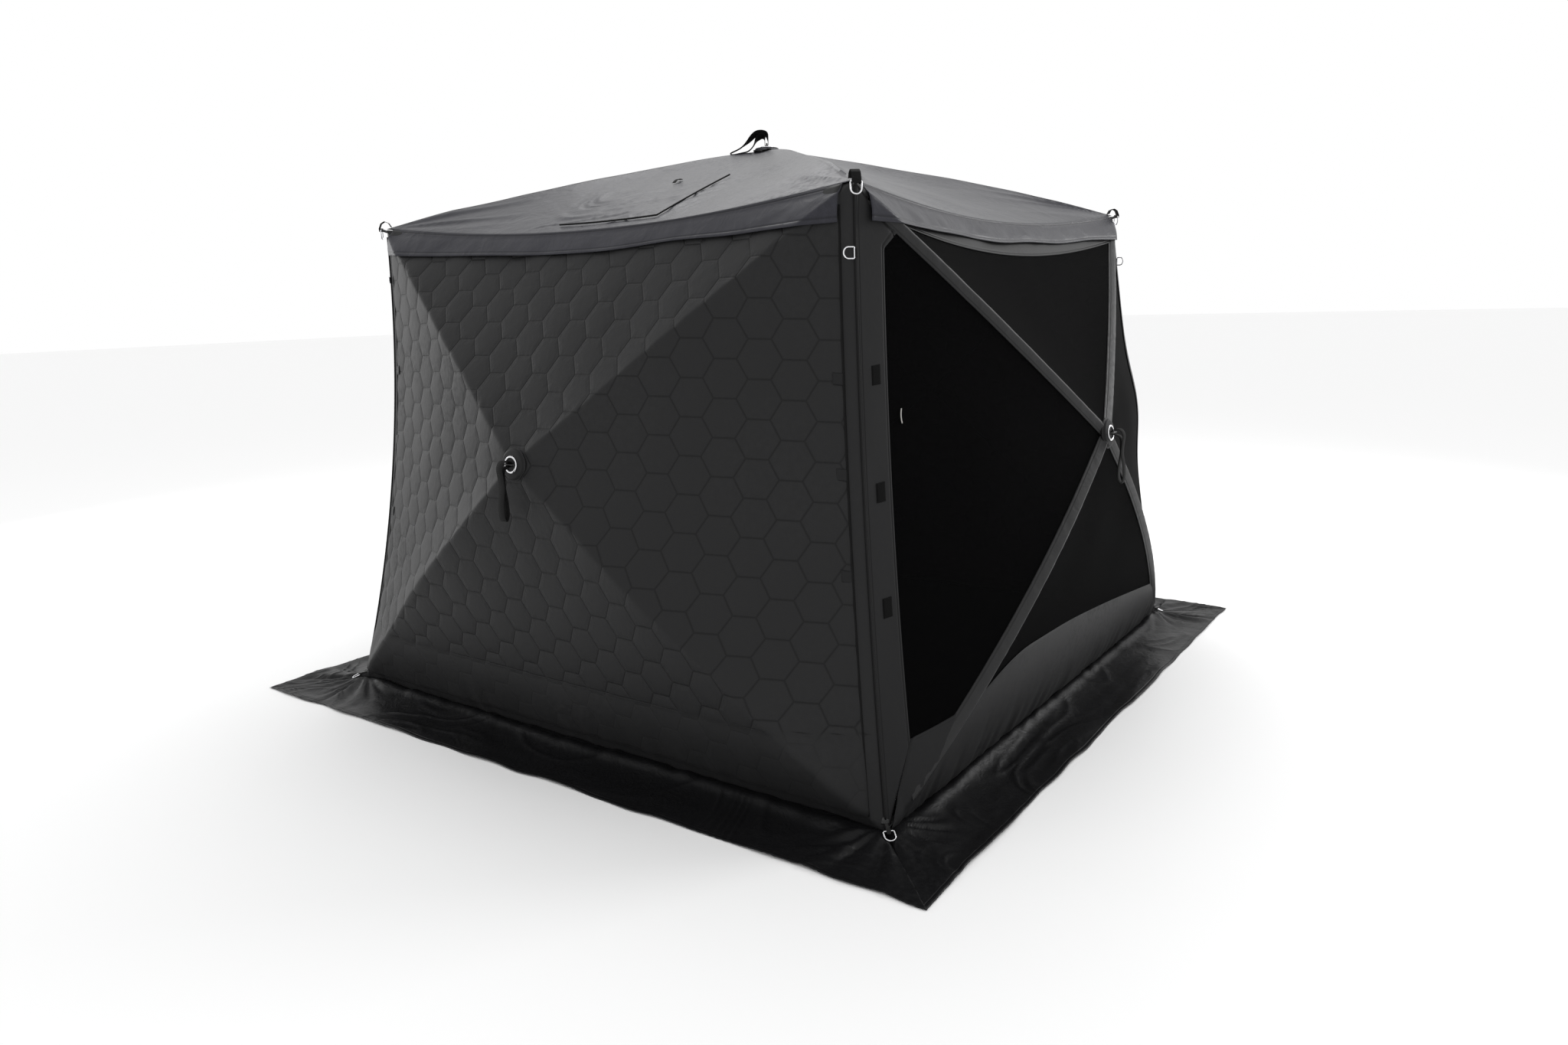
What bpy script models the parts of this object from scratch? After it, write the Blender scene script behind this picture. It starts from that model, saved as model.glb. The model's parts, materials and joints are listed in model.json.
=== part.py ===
"""Pop-up ground blind: a square hub-sprung shelter of four walls, a roof fly and a ground skirt.

Metres, +Z up. The origin is on the ground under the middle of the blind. The front wall faces -Y, and
each next side is a quarter turn further about +Z: front, right (+X), back and left. Every wall and the
roof is a shallow pyramid: four sprung poles run from its hub to its corners, and the hub slides along
the panel's normal as it is pulled out or pushed in. Corner number k joins the right end of side k to
the left end of the next side.
"""

import math

import bmesh
import bpy
import numpy as np
from mathutils import Matrix, Vector

# The tent's outline
BASE_HALF = 1.19  # half the base, from corner to corner of the walls
TOP_HALF = 1.01  # half the square of the roof's corners
CORNER_HEIGHT = 1.73  # the roof's corners above the ground
HEM_LIFT = 0.012  # the walls' lower hem above the ground
WALL_BULGE = 0.27  # a wall hub outside the plane of its corners
ROOF_BULGE = 0.27  # the roof hub above the plane of its corners
EDGE_PULL = (0.064, 0.004, 0.06, 0.064)  # how far each corner's upright edge is drawn in at its middle
EAVE_PULL = 0.031  # the eaves drawn in at their middles
EAVE_SAG = 0.066  # the eaves drawn down at their middles
TOP_BOW = 0.012  # outward bow of a wall's upper poles
BASE_BOW = 0.052  # outward bow of a wall's lower poles
ROOF_BOW = 0.026  # outward bow of the roof's poles
SLACK = 0.3  # share of the poles' bow that the cloth between two poles loses

# Cloth
SHEET = 0.003  # thickness of walls, screens and fly
SEAM = 0.005  # a wall's cut edge to the seam line it is sewn on
CLIP = 0.045  # how far the cloth's corners are cut back for the corner brackets
FLY_PROUD = 0.011  # fly edge outside the walls
FLY_LIFT = 0.004  # fly edge above the walls
VALANCE = 0.075  # height of the valance under the eaves
SLEEVE_HALF = 0.030  # half the width of the sleeves that cross the screen wall
SCREEN_BANDS = (0.28, 0.10, 0.11, 0.10)  # solid cloth at the wall's hem, far edge, eave and near edge
SCREEN_END_SHARE = 0.82  # how near to a point a screen runs between its two sleeves, at its hub end
SCREEN_GAP = 0.0006  # screen to the cloth around it
SKIRT_WIDTH = 0.26
SKIRT_ROOT = 0.010  # height of the skirt's fold at the wall
SKIRT_EDGE = 0.003  # thickness of the skirt's outer hem
SKIRT_GAP = 0.002  # skirt to wall, and from one skirt panel to the next

# Hubs
CAP_RADIUS = 0.042
CAP_HEIGHT = 0.0067
CAP_RIM = 0.45  # share of the cap's height that is its upright rim
CAP_CROWN = 0.72  # the flat top's radius, as a share of the cap's
CAP_FLOOR = 0.0008  # underside of the cap above the panel's apex
BOSS_RADIUS = 0.018
HUB_HOLE = 0.034  # radius of the hole in the cloth under the cap
HUB_DEPTH = 0.030  # the hub's inner end below the apex
PIVOT_RADIUS = 0.026  # pole pivots from the hub's axis
PIVOT_DEPTH = 0.020  # pole pivots below the apex
PIN_RADIUS = 0.0022
PIN_CLEARANCE = 0.0005
EAR_THICKNESS = 0.0035
EAR_CLEARANCE = 0.0005
EAR_REACH = 0.034  # outer end of the ears from the hub's axis
EAR_TOP = 0.013  # top of the ears below the apex
STAPLE_RADIUS = 0.0025
STAPLE_HEIGHT = 0.0205  # axis of the strap's bar above the apex
STAPLE_HALF = 0.0185  # half the distance between the staple's legs
STAPLE_LEG = 0.003  # radius of the staple's legs

# Poles
ROD_RADIUS = 0.00475
FERRULE_RADIUS = 0.0065
FERRULE_LENGTH = 0.055
TIP_LENGTH = 0.025
TIP_STEP = 0.003  # length of the steps and the rounding at the ferrule and the tip
ROD_SIDES = 6
TONGUE_THICKNESS = 0.006
TONGUE_RADIUS = 0.0055
TONGUE_LENGTH = 0.030
TONGUE_SOCKET = 0.008  # how far the tongue reaches into the ferrule
POLE_DEPTH = 0.0145  # a pole's axis under the ridge it holds up
TIP_BACK = 0.075  # a pole's tip from the panel's corner

# Corner brackets
FORK_CLEARANCE = 0.0015
FORK_WALL = 0.003
FORK_TOP = 0.005  # the fork's open edge above the pole's axis
FORK_FLOOR = 0.0148  # the fork's floor below the pole's axis
FORK_GRIP = 0.014  # the fork past the pole's tip, towards the hub
FORK_ROOT = 0.018  # the fork past the pole's tip, towards the corner
STEM_RADIUS = 0.0035
KNUCKLE_RADIUS = 0.017
KNUCKLE_BACK = 0.034  # the knuckle's middle inside the corner
FOOT_RADIUS = 0.010
LUG_OUT = 0.020  # a lug's bore outside the corner
LUG_SIZE = 0.012
ARM_SIZE = 0.009
BASE_LUG_HEIGHT = 0.030

# Rings and straps
RING_WIRE = 0.0022
RING_HALF = 0.015  # half the width of a D-ring
RING_DROP = 0.018  # length of the ring's straight sides
RING_CORNER = 0.003  # its corners' cut
RING_CLEARANCE = 0.0009
BASE_RING_ANGLE = math.radians(-22)  # a base ring lies on the skirt at this slope
STRAP_WIDTH = 0.030
STRAP_LENGTH = 0.185
STRAP_THICKNESS = 0.0025
STRAP_CLEARANCE = 0.0007  # webbing to the bar it is looped round
STRAP_BELLY = 0.012  # half the strap loop's width at its lower end
ROOF_STRAP_HEADING = math.radians(-144)  # which way the roof's strap is laid over
ROOF_STRAP_ANGLE = math.radians(8)  # it stands off the roof by this slope

SIDES = ("front", "right", "back", "left")
CORNERS = ("front_right", "back_right", "back_left", "front_left")
UP = np.array([0.0, 0.0, 1.0])

# Where the sheets' grids have their columns, as shares of an edge, and their rows, as shares of the
# way from the hub to that edge
EDGE_STEPS = (0.0, 0.03, 0.1, 0.25, 0.5, 0.75, 0.9, 0.97, 1.0)
ROWS = (0.25, 0.5, 0.75)
SCREEN_ROWS = (0, 0.3, 0.65, 1)  # shares of a screen's length, from its hub end
RIDGE_ROWS = (0.2, 0.45, 0.7, 0.92)  # the screen wall's rows on its ridges, where its facets meet
FRAME_INSETS = (0.1, 0.035)  # its columns' inset at the hub's hole and at the wall's edge


# ---------------------------------------------------------------- frames and outline curves


def quarter_turn(k):
    """The rotation of k quarter turns about +Z."""
    cosine, sine = ((1, 0), (0, 1), (-1, 0), (0, -1))[k % 4]
    return np.array([[cosine, -sine, 0], [sine, cosine, 0], [0, 0, 1]], float)


def unit(v):
    return v / np.linalg.norm(v)


def corner(k, half, height):
    """Corner k of a level square around the axis."""
    return quarter_turn(k) @ np.array([half, -half, height])


def base_corner(k):
    return corner(k, BASE_HALF, HEM_LIFT)


def top_corner(k):
    return corner(k, TOP_HALF, CORNER_HEIGHT)


def bump(t):
    """A parabola that is 0 at both ends and 1 in the middle."""
    return 4 * t * (1 - t)


def upright_edge(k, t):
    """The edge over corner k, from the ground up, drawn in towards the axis in its middle."""
    inward = quarter_turn(k) @ unit(np.array([-1.0, 1.0, 0.0]))
    return base_corner(k) * (1 - t) + top_corner(k) * t + inward * EDGE_PULL[k] * bump(t)


def eave(k, t):
    """The eave of side k, from its left corner to its right one, drawn in and down in its middle."""
    pull = quarter_turn(k) @ np.array([0, EAVE_PULL, -EAVE_SAG])
    return top_corner(k - 1) * (1 - t) + top_corner(k) * t + pull * bump(t)


def hem(k, t):
    """The lower hem of side k, from left to right."""
    return base_corner(k - 1) * (1 - t) + base_corner(k) * t


class Panel:
    """A sprung panel: its hub's apex, its normal and level axis, and where its poles go."""

    def __init__(self, name, apex, normal, across, spokes):
        self.name = name
        self.apex = apex
        self.normal = normal
        self.across = across
        self.spokes = spokes  # (pole name, corner point, bow, corner number, level)

    def swing_frame(self, point):
        """(outward spoke in the panel's plane, hinge axis) for the pole to a corner point."""
        flat = point - self.apex
        spoke = unit(flat - self.normal * (flat @ self.normal))
        return spoke, np.cross(spoke, self.normal)

    def pivot(self, point):
        spoke, _ = self.swing_frame(point)
        return self.apex + spoke * PIVOT_RADIUS - self.normal * PIVOT_DEPTH

    def tip(self, point):
        """The pole's tip, short of the corner and under the ridge."""
        ridge = unit(point - self.apex)
        _, hinge = self.swing_frame(point)
        return point - ridge * TIP_BACK - np.cross(hinge, ridge) * POLE_DEPTH


def wall_panel(k):
    """Side k. The foot of its hub is where its diagonals cross."""
    share = BASE_HALF / (BASE_HALF + TOP_HALF)
    foot = base_corner(k - 1) * (1 - share) + top_corner(k) * share
    across = quarter_turn(k) @ np.array([1.0, 0.0, 0.0])
    climb = unit(top_corner(k) + top_corner(k - 1) - base_corner(k) - base_corner(k - 1))
    normal = np.cross(across, climb)
    side = SIDES[k]
    spokes = (
        (f"pole_{side}_base_left", base_corner(k - 1), BASE_BOW, (k - 1) % 4, "base"),
        (f"pole_{side}_base_right", base_corner(k), BASE_BOW, k, "base"),
        (f"pole_{side}_top_right", top_corner(k), TOP_BOW, k, "top"),
        (f"pole_{side}_top_left", top_corner(k - 1), TOP_BOW, (k - 1) % 4, "top"),
    )
    return Panel(side, foot + normal * WALL_BULGE, normal, across, spokes)


def roof_panel():
    apex = np.array([0, 0, CORNER_HEIGHT + ROOF_BULGE])
    across = np.array([-math.sin(ROOF_STRAP_HEADING), math.cos(ROOF_STRAP_HEADING), 0])
    spokes = tuple(
        (f"pole_roof_{CORNERS[k]}", top_corner(k), ROOF_BOW, k, "top") for k in range(4)
    )
    return Panel("roof", apex, UP, across, spokes)


# ---------------------------------------------------------------- meshes, materials and objects


def clear_scene():
    for each in list(bpy.data.objects):
        bpy.data.objects.remove(each, do_unlink=True)


def material(name, colour, roughness, metallic=0.0):
    made = bpy.data.materials.new(name)
    made.use_nodes = True
    shader = made.node_tree.nodes["Principled BSDF"]
    shader.inputs["Base Color"].default_value = (*colour, 1)
    shader.inputs["Roughness"].default_value = roughness
    shader.inputs["Metallic"].default_value = metallic
    return made


def add_object(name, mesh, finish, matrix=None):
    """One named part, placed by its matrix. Its material is on the object, so copies share a mesh."""
    if not mesh.materials:
        mesh.materials.append(None)
    part = bpy.data.objects.new(name, mesh)
    bpy.context.scene.collection.objects.link(part)
    part.material_slots[0].link = "OBJECT"
    part.material_slots[0].material = finish
    if matrix is not None:
        part.matrix_world = matrix
    return part


def placed(origin, x_axis, y_axis, z_axis):
    """The matrix of a part whose axes point along these directions."""
    matrix = Matrix.Identity(4)
    for column, axis in enumerate((x_axis, y_axis, z_axis, origin)):
        matrix.col[column][:3] = Vector(axis)
    return matrix


def box_shape(bm, low, high, matrix):
    """A box between two corners of its own frame."""
    size = Matrix.Diagonal((*(np.array(high) - low), 1))
    centre = Matrix.Translation((np.array(high) + low) / 2)
    bmesh.ops.create_cube(bm, size=1, matrix=matrix @ centre @ size)


def cylinder_shape(bm, radius, start, end, segments, top_radius=None):
    """A cylinder or cone from one point to another."""
    start, end = Vector(start), Vector(end)
    run = end - start
    matrix = Matrix.Translation((start + end) / 2) @ run.to_track_quat("Z", "Y").to_matrix().to_4x4()
    bmesh.ops.create_cone(
        bm,
        cap_ends=True,
        segments=segments,
        radius1=radius,
        radius2=radius if top_radius is None else top_radius,
        depth=run.length,
        matrix=matrix,
    )


def combined(name, shapes, cut_away=()):
    """One closed mesh: the first shape joined to each of the others in turn, less what is cut away."""
    operations = ["UNION"] * (len(shapes) - 1) + ["DIFFERENCE"] * len(cut_away)
    helpers = []
    for add_shape in (*shapes, *cut_away):
        bm = bmesh.new()
        add_shape(bm)
        mesh = bpy.data.meshes.new(f"{name}_helper")
        bm.to_mesh(mesh)
        bm.free()
        helper = bpy.data.objects.new(f"{name}_helper", mesh)
        bpy.context.scene.collection.objects.link(helper)
        helpers.append(helper)
    body = helpers[0]
    for operation, helper in zip(operations, helpers[1:]):
        modifier = body.modifiers.new(helper.name, "BOOLEAN")
        modifier.operation = operation
        modifier.solver = "EXACT"
        modifier.object = helper
    bpy.context.view_layer.update()
    whole = bpy.data.meshes.new_from_object(body.evaluated_get(bpy.context.evaluated_depsgraph_get()))
    whole.name = name
    for helper in helpers:
        bpy.data.objects.remove(helper, do_unlink=True)
    return whole


def swept_tube(bm, centres, axes, radii, sides, closed=False):
    """Rings of a round tube about a path. axes holds two directions across it at each point."""
    rings = []
    for centre, (first, second), radius in zip(centres, axes, radii):
        angles = [2 * math.pi * n / sides for n in range(sides)]
        rings.append(
            [
                bm.verts.new(Vector(centre + radius * (math.cos(a) * first + math.sin(a) * second)))
                for a in angles
            ]
        )
    pairs = list(zip(rings, rings[1:] + ([rings[0]] if closed else [])))
    for ring, following in pairs:
        for n in range(sides):
            after = (n + 1) % sides
            bm.faces.new((ring[n], ring[after], following[after], following[n]))
    if not closed:
        bm.faces.new(rings[0][::-1])
        bm.faces.new(rings[-1])
    bmesh.ops.recalc_face_normals(bm, faces=bm.faces[:])


# ---------------------------------------------------------------- cloth


def facets_of_wall(k):
    """The four triangular facets of side k, as (edge curve, bow at its start, bow at its end)."""
    return (
        (lambda t: hem(k, t), BASE_BOW, BASE_BOW),
        (lambda t: upright_edge(k, t), BASE_BOW, TOP_BOW),
        (lambda t: eave(k, 1 - t), TOP_BOW, TOP_BOW),
        (lambda t: upright_edge(k - 1, 1 - t), TOP_BOW, BASE_BOW),
    )


def sheet_point(panel, facet, t, row, seam):
    """A point of a facet: t along its edge, and row of the way there from the hub.

    It lies on the straight line from the apex to the edge curve, raised by the poles' bow.
    """
    edge, first_bow, last_bow = facet
    end = edge(t)
    end = end + unit(panel.apex - end) * seam
    bow = (first_bow * (1 - t) + last_bow * t) * (1 - SLACK * bump(t))
    return panel.apex + (end - panel.apex) * row + panel.normal * bow * bump(row)


def corner_cut(t):
    """How far the cloth's edge is cut back, at a corner and along the edge from it."""
    return CLIP if t in (0.0, 1.0) else SEAM


def hub_row(panel, facet, t):
    """The share of the way to the edge at which the hub's hole is."""
    return HUB_HOLE / np.linalg.norm(facet[0](t) - panel.apex)


def solid_sheet(name, bm, finish):
    """A cloth object from an open mesh that faces outwards, given its thickness on the inside."""
    bmesh.ops.remove_doubles(bm, verts=bm.verts[:], dist=0.00005)
    mesh = bpy.data.meshes.new(name)
    bm.to_mesh(mesh)
    bm.free()
    part = add_object(name, mesh, finish)
    solidify = part.modifiers.new("Thickness", "SOLIDIFY")
    solidify.thickness = SHEET
    solidify.offset = -1
    solidify.use_even_offset = True
    return part


def add_grid(bm, points, skip=lambda row, column: False):
    """Quads over a grid of points, indexed [row from the hub][column along the edge]."""
    verts = [[bm.verts.new(Vector(p)) for p in line] for line in points]
    for row in range(len(points) - 1):
        for column in range(len(points[0]) - 1):
            if skip(row, column):
                continue
            near, far = verts[row], verts[row + 1]
            bm.faces.new((near[column], far[column], far[column + 1], near[column + 1]))


def quilted_wall(k, finish):
    """A plain sheet over side k, with a hole at its hub."""
    panel = wall_panel(k)
    bm = bmesh.new()
    for facet in facets_of_wall(k):
        lines = [[sheet_point(panel, facet, t, hub_row(panel, facet, t), SEAM) for t in EDGE_STEPS]]
        for row in ROWS:
            lines.append([sheet_point(panel, facet, t, row, SEAM) for t in EDGE_STEPS])
        lines.append([sheet_point(panel, facet, t, 1, corner_cut(t)) for t in EDGE_STEPS])
        add_grid(bm, lines)
    return solid_sheet(f"wall_{SIDES[k]}", bm, finish)


def screen_columns(panel, facet, row, margin):
    """Where a screen's two sloping sides cross a row, as shares of the edge.

    The side of a sleeve stays at the sleeve's half width from the pole under it.
    """
    first, last = facet[0](0.0), facet[0](1.0)
    edge = last - first
    shares = []
    for end in (first, last):
        spoke = unit(end - panel.apex)
        sine = np.linalg.norm(np.cross(spoke, unit(edge)))
        shares.append((SLEEVE_HALF + margin) / (row * np.linalg.norm(edge) * sine))
    return shares[0], 1 - shares[1]


def screen_rows(panel, facet, band, margin):
    """The rows of a screen, from its narrow end near the hub to the band along the wall's edge."""
    first, last = facet[0](0.0), facet[0](1.0)
    height = np.linalg.norm(np.cross(first - panel.apex, unit(last - first)))
    span = sum((s if n == 0 else 1 - s) for n, s in enumerate(screen_columns(panel, facet, 1, 0)))
    start = span / SCREEN_END_SHARE + margin / height
    end = 1 - (band + margin) / height
    return [start + (end - start) * share for share in SCREEN_ROWS]


def screen_line(panel, facet, row, margin):
    """Points of a row between the screen's two sloping sides."""
    left, right = screen_columns(panel, facet, row, margin)
    return [
        sheet_point(panel, facet, left + (right - left) * t, row, SEAM) for t in EDGE_STEPS
    ]


def screen_wall(k, cloth, mesh_cloth):
    """Side k with a screen in each facet, framed by the sleeves over the poles and by edge bands."""
    panel = wall_panel(k)
    names = ("screen_bottom", "screen_far", "screen_top", "screen_near")
    bm = bmesh.new()
    for name, facet, band in zip(names, facets_of_wall(k), SCREEN_BANDS):
        rows = screen_rows(panel, facet, band, 0)
        inner, outer = (
            (0.0, *(inset + (1 - 2 * inset) * t for t in EDGE_STEPS), 1.0) for inset in FRAME_INSETS
        )
        lines = [[sheet_point(panel, facet, t, hub_row(panel, facet, t), SEAM) for t in inner]]
        for row, ridge_row in zip(rows, RIDGE_ROWS):
            ends = [sheet_point(panel, facet, t, ridge_row, SEAM) for t in (0.0, 1.0)]
            lines.append([ends[0], *screen_line(panel, facet, row, 0), ends[1]])
        lines.append([sheet_point(panel, facet, t, 1, corner_cut(t)) for t in outer])
        last = len(EDGE_STEPS)
        add_grid(bm, lines, lambda row, column: 1 <= row < len(rows) and 1 <= column < last)
        add_screen(name, panel, facet, band, mesh_cloth)
    return solid_sheet("wall_right_frame", bm, cloth)


def add_screen(name, panel, facet, band, mesh_cloth):
    """One screen, a hair's breadth smaller all round than the opening it fills."""
    bm = bmesh.new()
    rows = screen_rows(panel, facet, band, SCREEN_GAP)
    add_grid(bm, [screen_line(panel, facet, row, SCREEN_GAP) for row in rows])
    return solid_sheet(name, bm, mesh_cloth)


def fly_edge(k, t):
    """The fold between the fly and its valance, outside and above the eave of side k."""
    return eave(k, t) + quarter_turn(k) @ np.array([0, -FLY_PROUD, FLY_LIFT])


def valance_hem(k, t):
    """The valance's hem: straight down from the fly's edge, at the fly's distance from the wall."""
    panel = wall_panel(k)
    upper_facet = (lambda share: eave(k, share), TOP_BOW, TOP_BOW)
    row = 1 - VALANCE / np.linalg.norm(panel.apex - eave(k, 0.5))
    share = min(max(0.5 + (t - 0.5) / row, 0), 1)
    point = sheet_point(panel, upper_facet, share, row, 0)
    point = point + panel.across * ((eave(k, t) - point) @ panel.across)
    return point + panel.normal * FLY_PROUD


def roof_fly(finish):
    """The roof's four facets from its hub to the eaves, and the valance that hangs from each eave."""
    panel = roof_panel()
    bm = bmesh.new()
    for k in range(4):
        facet = (lambda t: fly_edge(k, t), ROOF_BOW, ROOF_BOW)
        lines = [[sheet_point(panel, facet, t, hub_row(panel, facet, t), 0) for t in EDGE_STEPS]]
        for row in ROWS:
            lines.append([sheet_point(panel, facet, t, row, 0) for t in EDGE_STEPS])
        cut = [CLIP if t in (0.0, 1.0) else 0 for t in EDGE_STEPS]
        lines.append([sheet_point(panel, facet, t, 1, c) for t, c in zip(EDGE_STEPS, cut)])
        # The corner points of the two facets at a corner are one point on the ridge between them.
        for column, number in ((0, k - 1), (-1, k)):
            for line, row in zip(lines, (hub_row(panel, facet, 0.0), *ROWS, 1)):
                seam = CLIP if row == 1 else 0
                ridge = (lambda t, n=number: top_corner(n) + UP * FLY_LIFT, ROOF_BOW, ROOF_BOW)
                line[column] = sheet_point(panel, ridge, 0.0, row, seam)
        add_grid(bm, lines)
        strip = EDGE_STEPS[1:-1]
        add_grid(bm, [[fly_edge(k, t) for t in strip], [valance_hem(k, t) for t in strip]])
    return solid_sheet("roof_fly", bm, finish)


def skirt(k, finish):
    """The mitred skirt panel of side k: a thin wedge on the ground, from the wall out to its hem."""
    near, far = BASE_HALF + SKIRT_GAP, BASE_HALF + SKIRT_WIDTH
    section = ((near, 0), (far, 0), (far, SKIRT_EDGE), (near, SKIRT_ROOT))
    ends = []
    for sign in (-1, 1):
        ends.append([(sign * (reach - SKIRT_GAP), -reach, z) for reach, z in section])
    points = [quarter_turn(k) @ np.array(p) for end in ends for p in end]
    faces = [(0, 1, 2, 3), (7, 6, 5, 4)] + [(n, n + 4, (n + 1) % 4 + 4, (n + 1) % 4) for n in range(4)]
    bm = bmesh.new()
    verts = [bm.verts.new(Vector(p)) for p in points]
    for face in faces:
        bm.faces.new([verts[n] for n in face])
    bmesh.ops.recalc_face_normals(bm, faces=bm.faces[:])
    mesh = bpy.data.meshes.new(f"skirt_{SIDES[k]}")
    bm.to_mesh(mesh)
    bm.free()
    return add_object(mesh.name, mesh, finish)


# ---------------------------------------------------------------- hubs and poles


def hub_mesh(name, panel, staple_across):
    """A hub in its own frame: X across the panel, Z along its normal, the apex at the origin.

    A boss through the cloth joins the cap outside, with the staple for its strap, to four pairs of
    ears inside, each with a pin for its pole.
    """
    climb = np.cross(panel.normal, panel.across)
    inner = TONGUE_THICKNESS / 2 + EAR_CLEARANCE
    turns = []
    for _, point, _, _, _ in panel.spokes:
        spoke, _ = panel.swing_frame(point)
        turns.append(math.atan2(spoke @ climb, spoke @ panel.across))

    rim = CAP_FLOOR + CAP_HEIGHT * CAP_RIM
    dome = CAP_FLOOR + CAP_HEIGHT
    middle = CAP_FLOOR + CAP_HEIGHT / 2
    overlap = EAR_THICKNESS / 2
    heading = math.atan2(staple_across @ climb, staple_across @ panel.across)
    staple = Matrix.Rotation(heading, 4, "Z")
    bar = [staple @ Vector((sign * STAPLE_HALF, 0, STAPLE_HEIGHT)) for sign in (-1, 1)]
    shapes = [
        lambda bm: cylinder_shape(bm, BOSS_RADIUS, (0, 0, -HUB_DEPTH), (0, 0, middle), 16),
        lambda bm: cylinder_shape(bm, CAP_RADIUS, (0, 0, CAP_FLOOR), (0, 0, rim), 20),
        lambda bm: cylinder_shape(
            bm, CAP_RADIUS * 0.99, (0, 0, rim * 0.9), (0, 0, dome), 20, CAP_RADIUS * CAP_CROWN
        ),
        lambda bm: cylinder_shape(bm, STAPLE_RADIUS, bar[0], bar[1], 8),
    ]
    for sign in (-1, 1):
        foot = staple @ Vector((sign * STAPLE_HALF, 0, middle))
        top = staple @ Vector((sign * STAPLE_HALF, 0, STAPLE_HEIGHT + STAPLE_LEG * 1.1))
        shapes.append(lambda bm, a=foot, b=top: cylinder_shape(bm, STAPLE_LEG, a, b, 8))
    half = inner + overlap
    for turn in turns:
        matrix = Matrix.Rotation(turn, 4, "Z")
        for low, high in ((-inner - EAR_THICKNESS, -inner), (inner, inner + EAR_THICKNESS)):
            start = (BOSS_RADIUS * 0.7, low, -HUB_DEPTH + PIN_CLEARANCE)
            end = (EAR_REACH, high, -EAR_TOP)
            shapes.append(lambda bm, a=start, b=end, m=matrix: box_shape(bm, a, b, m))
        pin = [matrix @ Vector((PIVOT_RADIUS, y, -PIVOT_DEPTH)) for y in (-half, half)]
        shapes.append(lambda bm, p=pin: cylinder_shape(bm, PIN_RADIUS, p[0], p[1], 8))
    return combined(name, shapes)


def pole_mesh(name, length, bow):
    """A pole in its own frame: its pivot at the origin, its tip on +X, bowed towards +Z.

    A drilled tongue, a ferrule, the rod and a rubber tip, in one piece.
    """
    reach = TONGUE_LENGTH - TONGUE_SOCKET
    ferrule_end = reach + FERRULE_LENGTH
    stations = [(reach, FERRULE_RADIUS), (ferrule_end, FERRULE_RADIUS)]
    stations += [(ferrule_end + TIP_STEP, ROD_RADIUS)]
    stations += [(length * share, ROD_RADIUS) for share in (0.25, 0.5, 0.75)]
    tip_start = length - TIP_LENGTH
    stations += [(tip_start - TIP_STEP, ROD_RADIUS), (tip_start, FERRULE_RADIUS)]
    stations += [(length - TIP_STEP, FERRULE_RADIUS), (length, FERRULE_RADIUS * 0.6)]
    axes = [(np.array([0, 1.0, 0]), UP)] * len(stations)
    centres = [np.array([x, 0, bow * bump(x / length)]) for x, _ in stations]
    half, side = TONGUE_THICKNESS / 2, TONGUE_RADIUS * 0.98
    bore = PIN_RADIUS + PIN_CLEARANCE
    shapes = (
        lambda bm: cylinder_shape(bm, TONGUE_RADIUS, (0, -half, 0), (0, half, 0), 10),
        lambda bm: box_shape(
            bm, (0, -half * 0.99, -side), (TONGUE_LENGTH, half * 0.99, side), Matrix.Identity(4)
        ),
        lambda bm: swept_tube(bm, centres, axes, [radius for _, radius in stations], ROD_SIDES),
    )
    drill = (lambda bm: cylinder_shape(bm, bore, (0, -2 * half, 0), (0, 2 * half, 0), 8),)
    return combined(name, shapes, drill)


def add_panel_frame(panel, finishes):
    """A panel's hub, its poles and its pull strap, each placed on its own joint."""
    climb = np.cross(panel.normal, panel.across)
    hub_matrix = placed(panel.apex, panel.across, climb, panel.normal)
    mesh = hub_mesh(f"hub_{panel.name}", panel, panel.across)
    add_object(mesh.name, mesh, finishes["hub"], hub_matrix)
    for name, point, bow, _, _ in panel.spokes:
        pivot, tip = panel.pivot(point), panel.tip(point)
        along = unit(tip - pivot)
        _, hinge = panel.swing_frame(point)
        mesh = pole_mesh(name, np.linalg.norm(tip - pivot), bow)
        add_object(name, mesh, finishes["pole"], placed(pivot, along, -hinge, np.cross(along, -hinge)))
    add_strap(panel, finishes["webbing"])


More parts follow.
